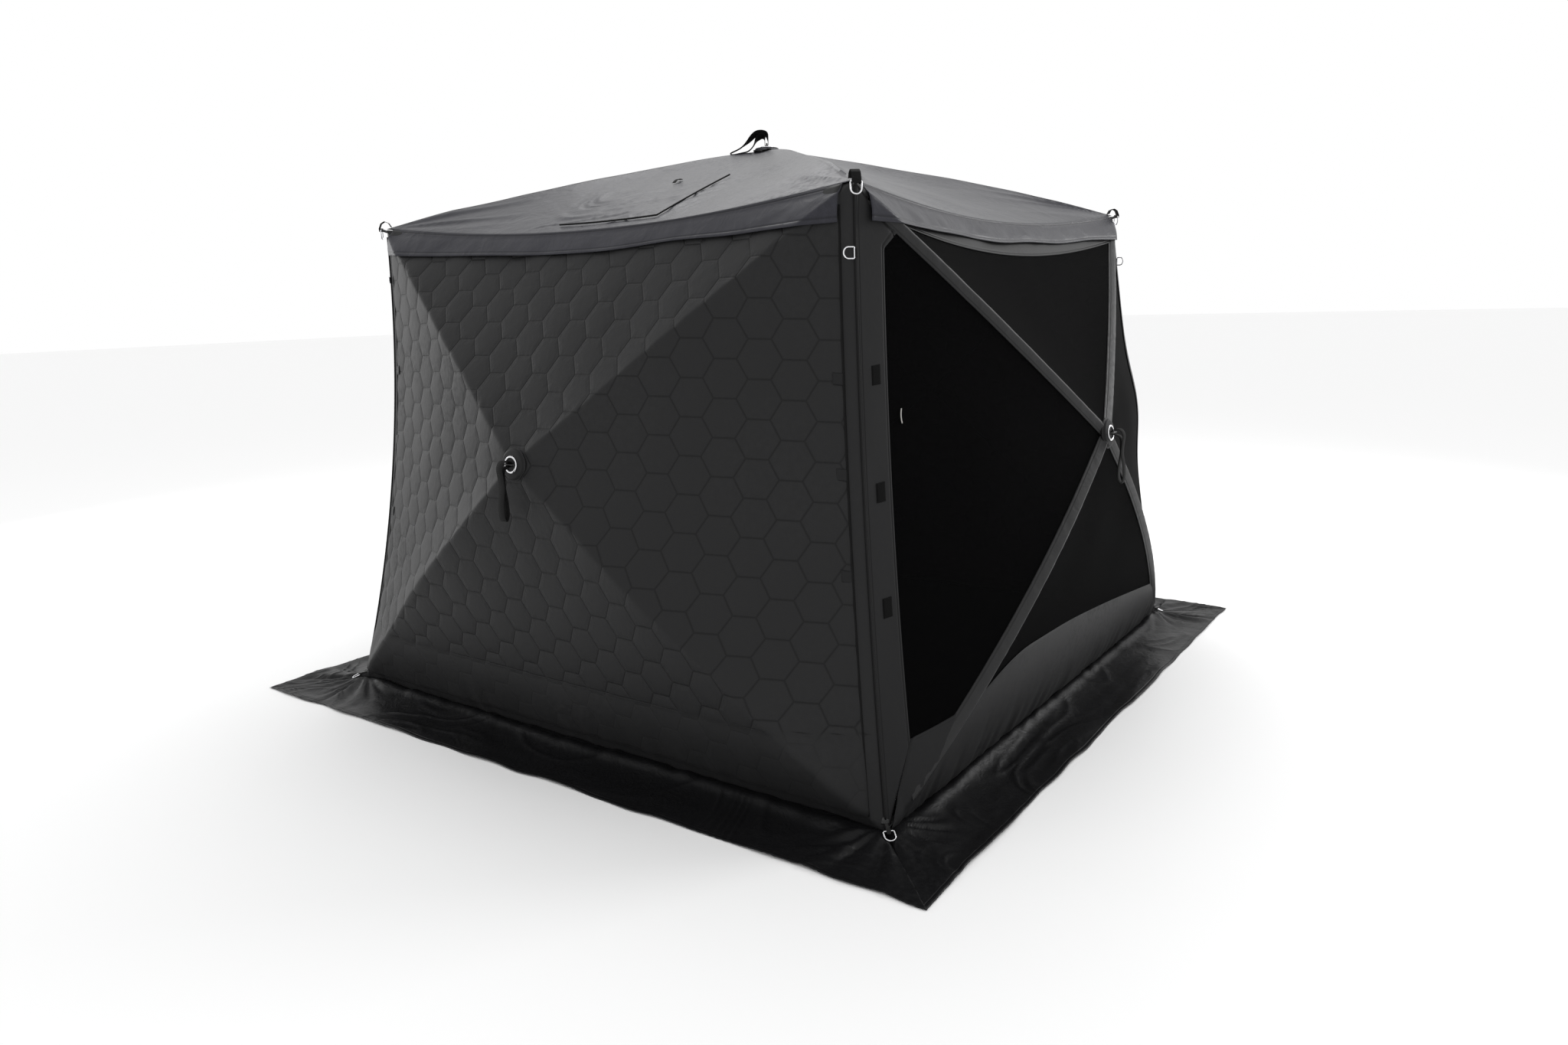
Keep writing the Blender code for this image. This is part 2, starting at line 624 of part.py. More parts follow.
def add_strap(panel, finish):
    """A webbing loop round the bar of the hub's staple, hanging down or laid over on the roof."""
    bar = panel.apex + panel.normal * STAPLE_HEIGHT
    across = panel.across
    if panel.name == "roof":
        level = np.cross(across, UP)
        along = level * math.cos(ROOF_STRAP_ANGLE) + UP * math.sin(ROOF_STRAP_ANGLE)
    else:
        along = -UP
    inner = STAPLE_RADIUS + STRAP_CLEARANCE
    outer = STRAP_BELLY - 2 * STRAP_THICKNESS
    steps = 6
    outline = []
    for n in range(steps + 1):
        angle = math.pi * (0.5 + n / steps)
        outline.append((math.cos(angle), math.sin(angle), 0.0, inner))
    for n in range(steps + 1):
        angle = math.pi * (-0.5 + n / steps)
        outline.append((math.cos(angle), math.sin(angle), STRAP_LENGTH - STRAP_BELLY, outer))
    bm = bmesh.new()
    rows = []
    for side in (-STRAP_WIDTH / 2, STRAP_WIDTH / 2):
        for grow in (0, STRAP_THICKNESS):
            rows.append(
                [
                    bm.verts.new((side, shift + (radius + grow) * c, (radius + grow) * s))
                    for c, s, shift, radius in outline
                ]
            )
    count = len(outline)
    for n in range(count):
        after = (n + 1) % count
        for first, second in ((0, 1), (1, 3), (3, 2), (2, 0)):
            bm.faces.new((rows[first][n], rows[first][after], rows[second][after], rows[second][n]))
    bmesh.ops.recalc_face_normals(bm, faces=bm.faces[:])
    mesh = bpy.data.meshes.new(f"strap_{panel.name}")
    bm.to_mesh(mesh)
    bm.free()
    add_object(mesh.name, mesh, finish, placed(bar, across, along, np.cross(across, along)))


# ---------------------------------------------------------------- corners


def fork_shapes(panel, point, knuckle_middle):
    """The open fork for one pole: a channel in line with its swing, and a stem from the knuckle."""
    tip, pivot = panel.tip(point), panel.pivot(point)
    along = unit(tip - pivot)
    _, hinge = panel.swing_frame(point)
    frame = placed(tip, along, -hinge, np.cross(hinge, along))
    inner = FERRULE_RADIUS + FORK_CLEARANCE
    outer = inner + FORK_WALL
    base = -FORK_FLOOR - FORK_WALL
    outline = [(-outer, base), (outer, base), (outer, FORK_TOP), (inner, FORK_TOP)]
    outline += [(inner, -FORK_FLOOR), (-inner, -FORK_FLOOR), (-inner, FORK_TOP), (-outer, FORK_TOP)]

    def channel(bm):
        ends = [
            [bm.verts.new(frame @ Vector((x, y, z))) for y, z in outline]
            for x in (-FORK_GRIP, FORK_ROOT)
        ]
        bm.faces.new(ends[0][::-1])
        bm.faces.new(ends[1])
        for n in range(len(outline)):
            after = (n + 1) % len(outline)
            bm.faces.new((ends[0][n], ends[0][after], ends[1][after], ends[1][n]))
        bmesh.ops.recalc_face_normals(bm, faces=bm.faces[:])

    def stem(bm):
        start = frame @ Vector((FORK_ROOT - 2 * STEM_RADIUS, 0, base + FORK_WALL / 2))
        cylinder_shape(bm, STEM_RADIUS, start, knuckle_middle, 6)

    return [channel, stem]


def lug_place(k, level):
    """The bore of the D-ring's lug at corner k: (middle, outward direction, bore's direction)."""
    outward = quarter_turn(k) @ unit(np.array([1.0, -1.0, 0.0]))
    if level == "top":
        middle = top_corner(k) + outward * LUG_OUT
    else:
        middle = base_corner(k) + outward * LUG_OUT
        middle[2] = BASE_LUG_HEIGHT
    return middle, outward, np.cross(outward, UP)


def corner_bracket(k, level, panels, finish):
    """The moulded knuckle in a corner: a fork for each pole that ends there, and a D-ring's lug."""
    ends = [
        (panel, point)
        for panel in panels
        for _, point, _, number, height in panel.spokes
        if number == k and height == level
    ]
    place = ends[0][1]
    inward = unit(sum(unit(panel.apex - point) for panel, point in ends))
    middle = place + inward * KNUCKLE_BACK
    lug, outward, bore = lug_place(k, level)
    lug_frame = placed(lug, outward, -bore, UP)
    half = LUG_SIZE / 2

    def knuckle(bm):
        matrix = Matrix.Translation(Vector(middle))
        bmesh.ops.create_uvsphere(bm, u_segments=8, v_segments=6, radius=KNUCKLE_RADIUS, matrix=matrix)

    def arm(bm):
        run = lug - middle
        x_axis = unit(run)
        y_axis = unit(np.cross(UP, x_axis))
        frame = placed(middle, x_axis, y_axis, np.cross(x_axis, y_axis))
        side = ARM_SIZE / 2
        box_shape(bm, (0, -side, -side), (np.linalg.norm(run) - half * 0.8, side, side), frame)

    shapes = [knuckle, arm, lambda bm: box_shape(bm, (-half, -half, -half), (half, half, half), lug_frame)]
    for panel, point in ends:
        shapes += fork_shapes(panel, point, middle)
    if level == "base":
        foot = (middle[0], middle[1], 0)
        shapes.append(lambda bm: cylinder_shape(bm, FOOT_RADIUS, foot, middle, 10))
    bore_ends = [lug + bore * LUG_SIZE * sign for sign in (-1, 1)]
    radius = RING_WIRE + RING_CLEARANCE
    hole = (lambda bm: cylinder_shape(bm, radius, bore_ends[0], bore_ends[1], 8),)
    name = f"corner_{level}_{CORNERS[k]}"
    return add_object(name, combined(name, shapes, hole), finish)


def ring_path():
    """The D-ring's centre line in its own frame: its bar on X through the origin, the bow on -Z."""
    points = [(-RING_HALF + RING_CORNER, 0), (RING_HALF - RING_CORNER, 0), (RING_HALF, -RING_CORNER)]
    points += [(RING_HALF, -RING_DROP)]
    for n in range(1, 6):
        angle = math.pi * n / 6
        points.append((RING_HALF * math.cos(angle), -RING_DROP - RING_HALF * math.sin(angle)))
    points += [(-RING_HALF, -RING_DROP), (-RING_HALF, -RING_CORNER)]
    return [np.array([x, 0, z]) for x, z in points]


def ring_mesh():
    path = ring_path()
    count = len(path)
    axes = []
    for n in range(count):
        ahead = unit(path[(n + 1) % count] - path[n]) + unit(path[n] - path[n - 1])
        axes.append((np.array([0, 1.0, 0]), unit(np.cross(ahead, np.array([0, 1.0, 0])))))
    bm = bmesh.new()
    swept_tube(bm, path, axes, [RING_WIRE] * count, 6, closed=True)
    mesh = bpy.data.meshes.new("d_ring")
    bm.to_mesh(mesh)
    bm.free()
    return mesh


def add_ring(k, level, mesh, finish):
    """A D-ring on its lug: a top one hangs, a base one lies out over the skirt."""
    lug, outward, bore = lug_place(k, level)
    if level == "top":
        down = -UP
    else:
        down = outward * math.cos(BASE_RING_ANGLE) + UP * math.sin(BASE_RING_ANGLE)
    matrix = placed(lug, bore, np.cross(-down, bore), -down)
    return add_object(f"ring_{level}_{CORNERS[k]}", mesh, finish, matrix)


# ---------------------------------------------------------------- the blind


def main():
    clear_scene()
    finishes = {
        "quilt": material("quilted_cloth", (0.035, 0.035, 0.037), 0.8),
        "plain": material("plain_cloth", (0.045, 0.045, 0.047), 0.7),
        "screen": material("screen_mesh", (0.012, 0.012, 0.013), 0.85),
        "fly": material("coated_cloth", (0.08, 0.08, 0.09), 0.35),
        "skirt": material("skirt_cloth", (0.02, 0.02, 0.021), 0.45),
        "hub": material("moulded_plastic", (0.02, 0.02, 0.02), 0.45),
        "pole": material("fibreglass", (0.05, 0.05, 0.05), 0.4),
        "webbing": material("webbing", (0.012, 0.012, 0.012), 0.8),
        "steel": material("plated_steel", (0.6, 0.6, 0.62), 0.25, 1.0),
    }
    panels = [wall_panel(k) for k in range(4)] + [roof_panel()]
    for k in (0, 2, 3):
        quilted_wall(k, finishes["quilt"])
    screen_wall(1, finishes["plain"], finishes["screen"])
    roof_fly(finishes["fly"])
    for k in range(4):
        skirt(k, finishes["skirt"])
    for panel in panels:
        add_panel_frame(panel, finishes)
    ring = ring_mesh()
    for level in ("top", "base"):
        for k in range(4):
            corner_bracket(k, level, panels, finishes["hub"])
            add_ring(k, level, ring, finishes["steel"])


main()
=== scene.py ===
"""Pop-up ground blind: three quilted walls, one screened wall, a coated roof fly and a ground skirt.

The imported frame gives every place: the hubs' apexes and normals come from its joints, and so do the
corners. Every cloth is a surface over a square of two parameters, a across the panel and b up it,
both from -1 to 1. The larger of |a| and |b| is the row: 0 at the hub and 1 at the panel's edge.
"""

import json
import logging
import math
from dataclasses import dataclass, field
from enum import Enum
from typing import Callable

import bpy
import numpy as np
from mathutils import Matrix, Vector


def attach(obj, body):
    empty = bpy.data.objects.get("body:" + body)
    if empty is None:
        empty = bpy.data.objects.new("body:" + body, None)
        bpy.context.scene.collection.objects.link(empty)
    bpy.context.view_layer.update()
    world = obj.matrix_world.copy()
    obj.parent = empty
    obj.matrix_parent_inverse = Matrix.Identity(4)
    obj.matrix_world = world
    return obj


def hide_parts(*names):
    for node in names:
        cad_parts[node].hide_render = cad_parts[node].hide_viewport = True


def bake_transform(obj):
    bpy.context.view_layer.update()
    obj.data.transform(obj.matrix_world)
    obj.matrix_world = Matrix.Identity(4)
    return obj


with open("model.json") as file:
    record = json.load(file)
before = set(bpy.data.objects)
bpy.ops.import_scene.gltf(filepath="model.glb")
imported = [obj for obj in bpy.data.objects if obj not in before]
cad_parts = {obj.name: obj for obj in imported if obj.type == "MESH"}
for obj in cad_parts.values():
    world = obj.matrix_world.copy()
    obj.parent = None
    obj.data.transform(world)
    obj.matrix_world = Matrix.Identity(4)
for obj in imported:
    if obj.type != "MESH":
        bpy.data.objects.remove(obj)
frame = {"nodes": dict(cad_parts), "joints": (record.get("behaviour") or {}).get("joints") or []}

LOG = logging.getLogger("ground_blind")

Array = np.ndarray
Corner = tuple[int, int]
Curve = Callable[[Array], Array]
UP = np.array([0.0, 0.0, 1.0])


class Level(Enum):
    """The two squares of corners."""

    TOP = "top"
    BASE = "base"


class Side(Enum):
    """The blind's sides, in quarter turns from the front, seen from above counter-clockwise."""

    FRONT = 0
    RIGHT = 1
    BACK = 2
    LEFT = 3

    @property
    def label(self) -> str:
        """The side's name as the frame's nodes use it."""
        return self.name.lower()


CORNERS = ("front_right", "back_right", "back_left", "front_left")


# ---------------------------------------------------------------- small numbers work


def unit(v: Array) -> Array:
    """The vectors at length 1, along the last axis."""
    return v / np.maximum(np.linalg.norm(v, axis=-1, keepdims=True), 1e-12)


def bump(t: Array) -> Array:
    """The parabola 4 t (1 - t): 0 at both ends of 0 to 1 and 1 in the middle."""
    return 4 * t * (1 - t)


def ramp(x: Array, low: float, high: float) -> Array:
    """3 s^2 - 2 s^3, where s goes from 0 at low to 1 at high."""
    s = np.clip((x - low) / (high - low), 0, 1)
    return s * s * (3 - 2 * s)


def row_of(a: Array, b: Array) -> Array:
    """The larger of |a| and |b|: 0 at a panel's hub and 1 at its edge."""
    return np.maximum(np.abs(a), np.abs(b))


def mix(first: Array, last: Array, t: Array) -> Array:
    """The point t of the way from first to last."""
    return first + (last - first) * t[..., None]


def quarter_turn(k: int) -> Array:
    """The matrix of k quarter turns about +Z."""
    cosine, sine = ((1, 0), (0, 1), (-1, 0), (0, -1))[k % 4]
    return np.array([[cosine, -sine, 0], [sine, cosine, 0], [0, 0, 1]], float)


def noise(u: Array, v: Array, cell: float, seed: int) -> Array:
    """Smooth value noise from -1 to 1: random heights on a square lattice of the cell's size,
    blended between lattice points with the curve 3 s^2 - 2 s^3."""
    table = np.random.default_rng(seed).uniform(-1, 1, (64, 64))
    x, y = u / cell, v / cell
    column, line = np.floor(x).astype(int), np.floor(y).astype(int)
    s, t = x - column, y - line
    s, t = s * s * (3 - 2 * s), t * t * (3 - 2 * t)

    def height(right: int, above: int) -> Array:
        """The lattice's height at a corner of each point's cell."""
        return table[(line + above) % 64, (column + right) % 64]

    low = height(0, 0) * (1 - s) + height(1, 0) * s
    high = height(0, 1) * (1 - s) + height(1, 1) * s
    return low * (1 - t) + high * t


def creases(u: Array, v: Array, cell: float, stretch: float, heading: Array, seed: int) -> Array:
    """Fold lines from 0 to 1: one less the size of noise that is stretched along a heading."""
    along = u * np.cos(heading) + v * np.sin(heading)
    over = -u * np.sin(heading) + v * np.cos(heading)
    return 1 - np.abs(noise(along / stretch, over, cell, seed))


def honeycomb(u: Array, v: Array, flat: float) -> Array:
    """Distance from each point to the nearest side of a honeycomb, whose cells are flat across
    their level sides.

    The cells' middles are two rectangular lattices of sqrt(3) by 1 cell, half a period apart. In one
    cell the distance is flat / 2 - max(|y|, |x| sqrt(3) / 2 + |y| / 2), and the larger of the two
    lattices' distances is the true one.

    Args:
        u: Points across the cloth, in metres.
        v: Points up the cloth, in metres.
        flat: Size of a cell from one level side to the other.

    Returns:
        The distances, in metres.
    """
    period = np.array([math.sqrt(3) * flat, flat])

    def inside(shift: float) -> Array:
        """The distance for the lattice that is shifted by this share of a period."""
        x = np.mod(u + (shift + 0.5) * period[0], period[0]) - period[0] / 2
        y = np.mod(v + (shift + 0.5) * period[1], period[1]) - period[1] / 2
        x, y = np.abs(x), np.abs(y)
        return flat / 2 - np.maximum(y, x * math.sqrt(3) / 2 + y / 2)

    return np.maximum(inside(0.0), inside(0.5))


# ---------------------------------------------------------------- the blind's outline


@dataclass(frozen=True)
class Outline:
    """The corners, read from the frame's ring joints, and the curves of the cloth's edges.

    Attributes:
        hem_lift: Height of the walls' lower hem.
        edge_pull: How far each corner's upright edge is drawn in at its middle.
        edge_swell: How far each corner's upright edge swells out at the hubs' height.
        eave_pull: How far the eaves are drawn in at their middles.
        eave_sag: How far the eaves hang at their middles.
        lug_out: How far outside its corner a ring's joint is.
    """

    hem_lift: float = 0.012
    edge_pull: tuple[float, float, float, float] = (0.064, 0.004, 0.06, 0.064)
    edge_swell: tuple[float, float, float, float] = (0.0, 0.032, 0.0, 0.0)
    eave_pull: float = 0.031
    eave_sag: float = 0.066
    lug_out: float = 0.020

    def outward(self, k: int) -> Array:
        """The level direction out of corner k."""
        return quarter_turn(k) @ unit(np.array([1.0, -1.0, 0.0]))

    def corner(self, k: int, level: Level) -> Array:
        """Corner k of the roof or of the base: its ring's joint, less the lug's reach."""
        place = np.array(joint(f"ring_{level.value}_{CORNERS[k % 4]}_swing")["pos_m"])
        place = place - self.outward(k) * self.lug_out
        if level is Level.BASE:
            place[2] = self.hem_lift
        return place

    def upright(self, k: int, t: Array) -> Array:
        """The upright edge over corner k, from the ground up: a straight line, less a parabola,
        with a bell curve where the cloth swells out."""
        line = mix(self.corner(k, Level.BASE), self.corner(k, Level.TOP), t)
        swell = self.edge_swell[k % 4] * np.exp(-(((t - 0.55) / 0.11) ** 2))
        return line + self.outward(k) * (swell - self.edge_pull[k % 4] * bump(t))[..., None]

    def eave(self, k: int, t: Array) -> Array:
        """The eave of side k from left to right: a straight line drawn in and down by a parabola."""
        pull = quarter_turn(k) @ np.array([0, self.eave_pull, -self.eave_sag])
        line = mix(self.corner(k - 1, Level.TOP), self.corner(k, Level.TOP), t)
        return line + pull * bump(t)[..., None]

    def hem(self, k: int, t: Array) -> Array:
        """The straight lower hem of side k from left to right."""
        return mix(self.corner(k - 1, Level.BASE), self.corner(k, Level.BASE), t)


def joint(name: str) -> dict:
    """The frame's joint of this name."""
    return next(each for each in frame["joints"] if each["name"] == name)


@dataclass(frozen=True)
class Panel:
    """A sprung panel: a shallow pyramid of cloth over four bowed poles.

    Attributes:
        name: The panel's name in the frame.
        edges: Its lower, right, upper and left edge, from left to right or from below upwards.
        bows: How far the poles bow outwards, at the lower left, lower right, upper right and upper
            left corner.
        across: The level direction across it.
        staple: Height of the strap's joint above the apex.
        slack: Share of the poles' bow that the cloth between two poles loses.
    """

    name: str
    edges: tuple[Curve, Curve, Curve, Curve]
    bows: tuple[float, float, float, float]
    across: Array
    staple: float = 0.0205
    slack: float = 0.3

    @property
    def normal(self) -> Array:
        """Outwards, along the hub's slide."""
        return unit(np.array(joint(f"hub_{self.name}_pull")["axis"]))

    @property
    def apex(self) -> Array:
        """Where the four ridges meet at the hub."""
        return np.array(joint(f"strap_{self.name}_swing")["pos_m"]) - self.normal * self.staple

    @property
    def climb(self) -> Array:
        """Up the panel."""
        return np.cross(self.normal, self.across)

    def surface(self, a: Array, b: Array) -> Array:
        """Points of the cloth.

        A point lies on the straight line from the apex to the panel's edge, the row's share of the
        way, raised along the normal by the poles' bow times 4 row (1 - row).

        Args:
            a: Places across, from -1 to 1.
            b: Places up, from -1 to 1.

        Returns:
            The points, with a last axis of 3.
        """
        a, b = np.broadcast_arrays(np.asarray(a, float), np.asarray(b, float))
        row = np.maximum(row_of(a, b), 1e-9)
        upright = np.abs(a) > np.abs(b)
        t = np.clip((np.where(upright, b, a) / row + 1) / 2, 0, 1)
        lower, right, upper, left = (edge(t) for edge in self.edges)
        pick = [upright & (a > 0), upright & (a <= 0), ~upright & (b > 0)]
        end = np.select([p[..., None] for p in pick], [right, left, upper], lower)
        lower_left, lower_right, upper_right, upper_left = self.bows
        first = np.select(pick, [lower_right, lower_left, upper_left], lower_left)
        last = np.select(pick, [upper_right, upper_left, upper_right], lower_right)
        bow = (first * (1 - t) + last * t) * (1 - self.slack * bump(t))
        return self.apex + (end - self.apex) * row[..., None] + self.normal * (bow * bump(row))[..., None]

    def flat(self, points: Array) -> tuple[Array, Array]:
        """The points' places across and up the panel's plane, in metres from its hub."""
        off = points - self.apex
        return off @ self.across, off @ self.climb

    def ridge_place(self, corner: Corner, along: Array, off: Array) -> tuple[Array, Array]:
        """Parameters of points beside one of the ridges.

        At a row, off metres from the ridge is off / (row L sin) of the edge away from the corner,
        where L is the edge's length and sin that of the angle between the ridge and the edge.

        Args:
            corner: The signs of a and b at the ridge's corner.
            along: Rows of the points.
            off: Their distance from the ridge: negative on the lower or upper facet, positive on
                the side facet.

        Returns:
            a and b.
        """
        ends = np.array([-1.0, 1.0])
        point = self.surface(np.array(corner[0]), np.array(corner[1]))
        spoke = unit(point - self.apex)
        shares = []
        for level in (True, False):
            a = ends if level else np.full(2, corner[0])
            b = np.full(2, corner[1]) if level else ends
            run = np.diff(self.surface(a, b), axis=0)[0]
            sine = np.linalg.norm(np.cross(spoke, unit(run)))
            shares.append(np.abs(off) / (along * np.linalg.norm(run) * sine))
        level_share, side_share = (np.clip(share, 0, 0.5) for share in shares)
        a = corner[0] * along * np.where(off < 0, 1 - 2 * level_share, 1)
        b = corner[1] * along * np.where(off < 0, 1, 1 - 2 * side_share)
        return a, b


def wall_panel(side: Side, outline: Outline) -> Panel:
    """The panel of a wall, whose lower poles bow more than its upper ones."""
    k, base_bow, top_bow = side.value, 0.052, 0.012
    edges = (
        lambda t: outline.hem(k, t),
        lambda t: outline.upright(k, t),
        lambda t: outline.eave(k, t),
        lambda t: outline.upright(k - 1, t),
    )
    across = quarter_turn(k) @ np.array([1.0, 0.0, 0.0])
    return Panel(side.label, edges, (base_bow, base_bow, top_bow, top_bow), across)


def fly_edge(outline: Outline, k: int, t: Array) -> Array:
    """The fly's edge over the eave of side k: a little outside and above it, and at its corners
    on the roof's corners."""
    proud, lift, sharp = 0.011, 0.004, 6
    out = quarter_turn(k) @ np.array([0, -proud, 0])
    return outline.eave(k, t) + out * (1 - np.abs(2 * t - 1) ** sharp)[..., None] + UP * lift


def roof_panel(outline: Outline) -> Panel:
    """The roof's panel: its lower edge is the front eave."""
    bow = 0.026
    edges = (
        lambda t: fly_edge(outline, 0, t),
        lambda t: fly_edge(outline, 1, t),
        lambda t: fly_edge(outline, 2, 1 - t),
        lambda t: fly_edge(outline, 3, 1 - t),
    )
    return Panel("roof", edges, (bow,) * 4, np.array([1.0, 0.0, 0.0]))


# ---------------------------------------------------------------- meshes


def grid_normals(points: Array) -> Array:
    """Unit normals of a grid of points, from the cross product of its two gradients."""
    return unit(np.cross(np.gradient(points, axis=1), np.gradient(points, axis=0)))


def grid_faces(rows: int, columns: int, ridge: bool = False, around: bool = False) -> Array:
    """Quads of a grid, outwards where its first axis runs up and its second across.

    Args:
        rows: Points up.
        columns: Points across.
        ridge: Whether the quads on the grid's second diagonal are turned, so that both diagonals
            are edges once they are split in triangles.
        around: Whether the last column joins the first.

    Returns:
        The quads' vertex numbers, by row and column of the grid's cells.
    """
    number = np.arange(rows * columns).reshape(rows, columns)
    if around:
        number = np.concatenate([number, number[:, :1]], axis=1)
    quads = np.stack([number[:-1, :-1], number[:-1, 1:], number[1:, 1:], number[1:, :-1]], axis=-1)
    if ridge:
        line, column = np.indices(quads.shape[:2])
        other = line + column == rows - 2
        quads[other] = np.roll(quads[other], 1, axis=-1)
    return quads


@dataclass
class Cloth:
    """A surface on its way to being a piece: its points, its faces and what its finish reads.

    Attributes:
        points: Vertices, one to a line.
        faces: Quads, one to a line.
        uv: Places on the cloth in metres, one to a vertex.
        values: Point attributes that the finish reads.
    """

    points: Array
    faces: Array
    uv: Array
    values: dict[str, Array] = field(default_factory=dict)

    @classmethod
    def from_grid(cls, points: Array, uv: Array, faces: Array | None = None, **values: Array) -> "Cloth":
        """A cloth over a grid of points."""
        if faces is None:
            faces = grid_faces(*points.shape[:2])
        flat = {name: np.broadcast_to(value, points.shape[:2]).ravel() for name, value in values.items()}
        return cls(points.reshape(-1, 3), faces.reshape(-1, 4), uv.reshape(-1, 2), flat)

    def joined(self, *others: "Cloth") -> "Cloth":
        """This cloth and others as one."""
        parts = (self, *others)
        starts = np.cumsum([0] + [len(part.points) for part in parts[:-1]])
        return Cloth(
            np.concatenate([part.points for part in parts]),
            np.concatenate([part.faces + start for part, start in zip(parts, starts)]),
            np.concatenate([part.uv for part in parts]),
            {name: np.concatenate([part.values[name] for part in parts]) for name in self.values},
        )

    def mesh(self, name: str) -> bpy.types.Mesh:
        """The mesh of the cloth's used points, shaded smooth."""
        used = np.unique(self.faces)
        place = np.zeros(len(self.points), int)
        place[used] = np.arange(len(used))
        corners = place[self.faces].ravel()
        made = bpy.data.meshes.new(name)
        made.vertices.add(len(used))
        made.loops.add(len(corners))
        made.polygons.add(len(self.faces))
        made.vertices.foreach_set("co", self.points[used].astype(np.float32).ravel())
        made.loops.foreach_set("vertex_index", corners.astype(np.int32))
        made.polygons.foreach_set("loop_start", np.arange(0, len(corners), 4, dtype=np.int32))
        made.polygons.foreach_set("use_smooth", np.ones(len(self.faces), bool))
        made.update(calc_edges=True)
        layer = made.uv_layers.new(name="cloth")
        layer.data.foreach_set("uv", self.uv[used][corners].astype(np.float32).ravel())
        for key, value in self.values.items():
            attribute = made.attributes.new(key, "FLOAT", "POINT")
            attribute.data.foreach_set("value", value[used].astype(np.float32))
        made.validate()
        return made


def thicken(piece: bpy.types.Object, thickness: float) -> None:
    """Gives a cloth its thickness, on its inner side."""
    solidify = piece.modifiers.new("thickness", "SOLIDIFY")
    solidify.thickness = thickness
    solidify.offset = -1
    solidify.use_even_offset = False


def follow_hub(piece: bpy.types.Object) -> None:
    """Bakes a piece's transform into its mesh; it does not make the piece follow its hub.

    A pole turns about its pin in the hub while its tip stays, so a point would move with the hub by a
    share that falls in a straight line from 1 at the pin's row to 0 at the tip's row. The rows are
    read from the mesh, and nothing uses them.

    Args:
        piece: The piece, whose mesh holds each point's row.
    """
    rows = np.zeros(len(piece.data.vertices), np.float32)
    piece.data.attributes["row"].data.foreach_get("value", rows)
    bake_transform(piece)


def add_piece(
    name: str,
    cloth: Cloth,
    finish: bpy.types.Material,
    follows: Panel | str,
    thickness: float = 0.0,
) -> bpy.types.Object:
    """A surface as a piece at the origin.

    Args:
        name: The piece's name.
        cloth: Its surface.
        finish: Its material.
        follows: A panel, in which case the piece is only baked in place, or the body that it rides on.
        thickness: The thickness to give it, or 0 where it is closed already.

    Returns:
        The piece.
    """
    mesh = cloth.mesh(name)
    mesh.materials.append(finish)
    piece = bpy.data.objects.new(name, mesh)
    bpy.context.scene.collection.objects.link(piece)
    if thickness:
        thicken(piece, thickness)
    if isinstance(follows, Panel):
        follow_hub(piece)
    else:
        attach(piece, follows)
    return piece


def swept(
    path: Array, side: Array, top: Array, profile: Array, loop: bool, row: Array | float = 1.0
) -> Cloth:
    """A closed solid: a profile carried along a path.

    A point is path + x side + y top for each point (x, y) of the profile. The ends of an open path
    are closed by shrinking the profile to the path.

    Args:
        path: Points of the path.
        side: The profile's x direction at each point, or one for all.
        top: The profile's y direction at each point, or one for all.
        profile: Points (x, y) around the profile.
        loop: Whether the path joins its own start.
        row: The panel's row at each point of the path, kept on the mesh as a point attribute.

    Returns:
        The solid, with its u along the path and v around the profile, in metres.
    """
    count = len(path)
    side, top = np.broadcast_to(side, (count, 3)), np.broadcast_to(top, (count, 3))
    row = np.broadcast_to(row, (count,))
    ring = profile[None, :, :1] * side[:, None] + profile[None, :, 1:] * top[:, None]
    if loop:
        points = path[:, None] + ring
        points = np.concatenate([points, points[:1]])
        row = np.append(row, row[:1])
    else:
        shrink = 1e-4
        first = path[:1, None] + ring[:1] * shrink
        last = path[-1:, None] + ring[-1:] * shrink
        points = np.concatenate([first, path[:, None] + ring, last])
        row = np.concatenate([row[:1], row, row[-1:]])
    faces = grid_faces(len(points), len(profile), around=True)
    if loop:
        faces = faces % (count * len(profile))
        points, row = points[:-1], row[:-1]
    a, b, c, d = (points.reshape(-1, 3)[faces.reshape(-1, 4)[:, n]] for n in range(4))
    volume = (a * np.cross(b, c)).sum() + (a * np.cross(c, d)).sum()
    if volume < 0:
        faces = faces[..., ::-1]
    along = np.concatenate([[0], np.cumsum(np.linalg.norm(np.diff(points.mean(axis=1), axis=0), axis=1))])
    around = np.arange(len(profile)) / len(profile) * np.ptp(profile) * 2
    uv = np.stack(np.broadcast_arrays(along[:, None], around[None]), axis=-1)
    return Cloth.from_grid(points, uv, faces, row=row[:, None])


def circle(radius: float, sides: int) -> Array:
    """Points around a circle."""
    angle = np.arange(sides) / sides * 2 * math.pi
    return radius * np.stack([np.cos(angle), np.sin(angle)], axis=-1)


def webbing_profile(width: float, thickness: float) -> Array:
    """Points around a flat band with round edges: a circle of its thickness, pulled apart."""
    ring = circle(thickness / 2, 12)
    ring[:, 0] += np.where(ring[:, 0] > 0, 1, -1) * (width - thickness) / 2
    return ring


# ---------------------------------------------------------------- finishes


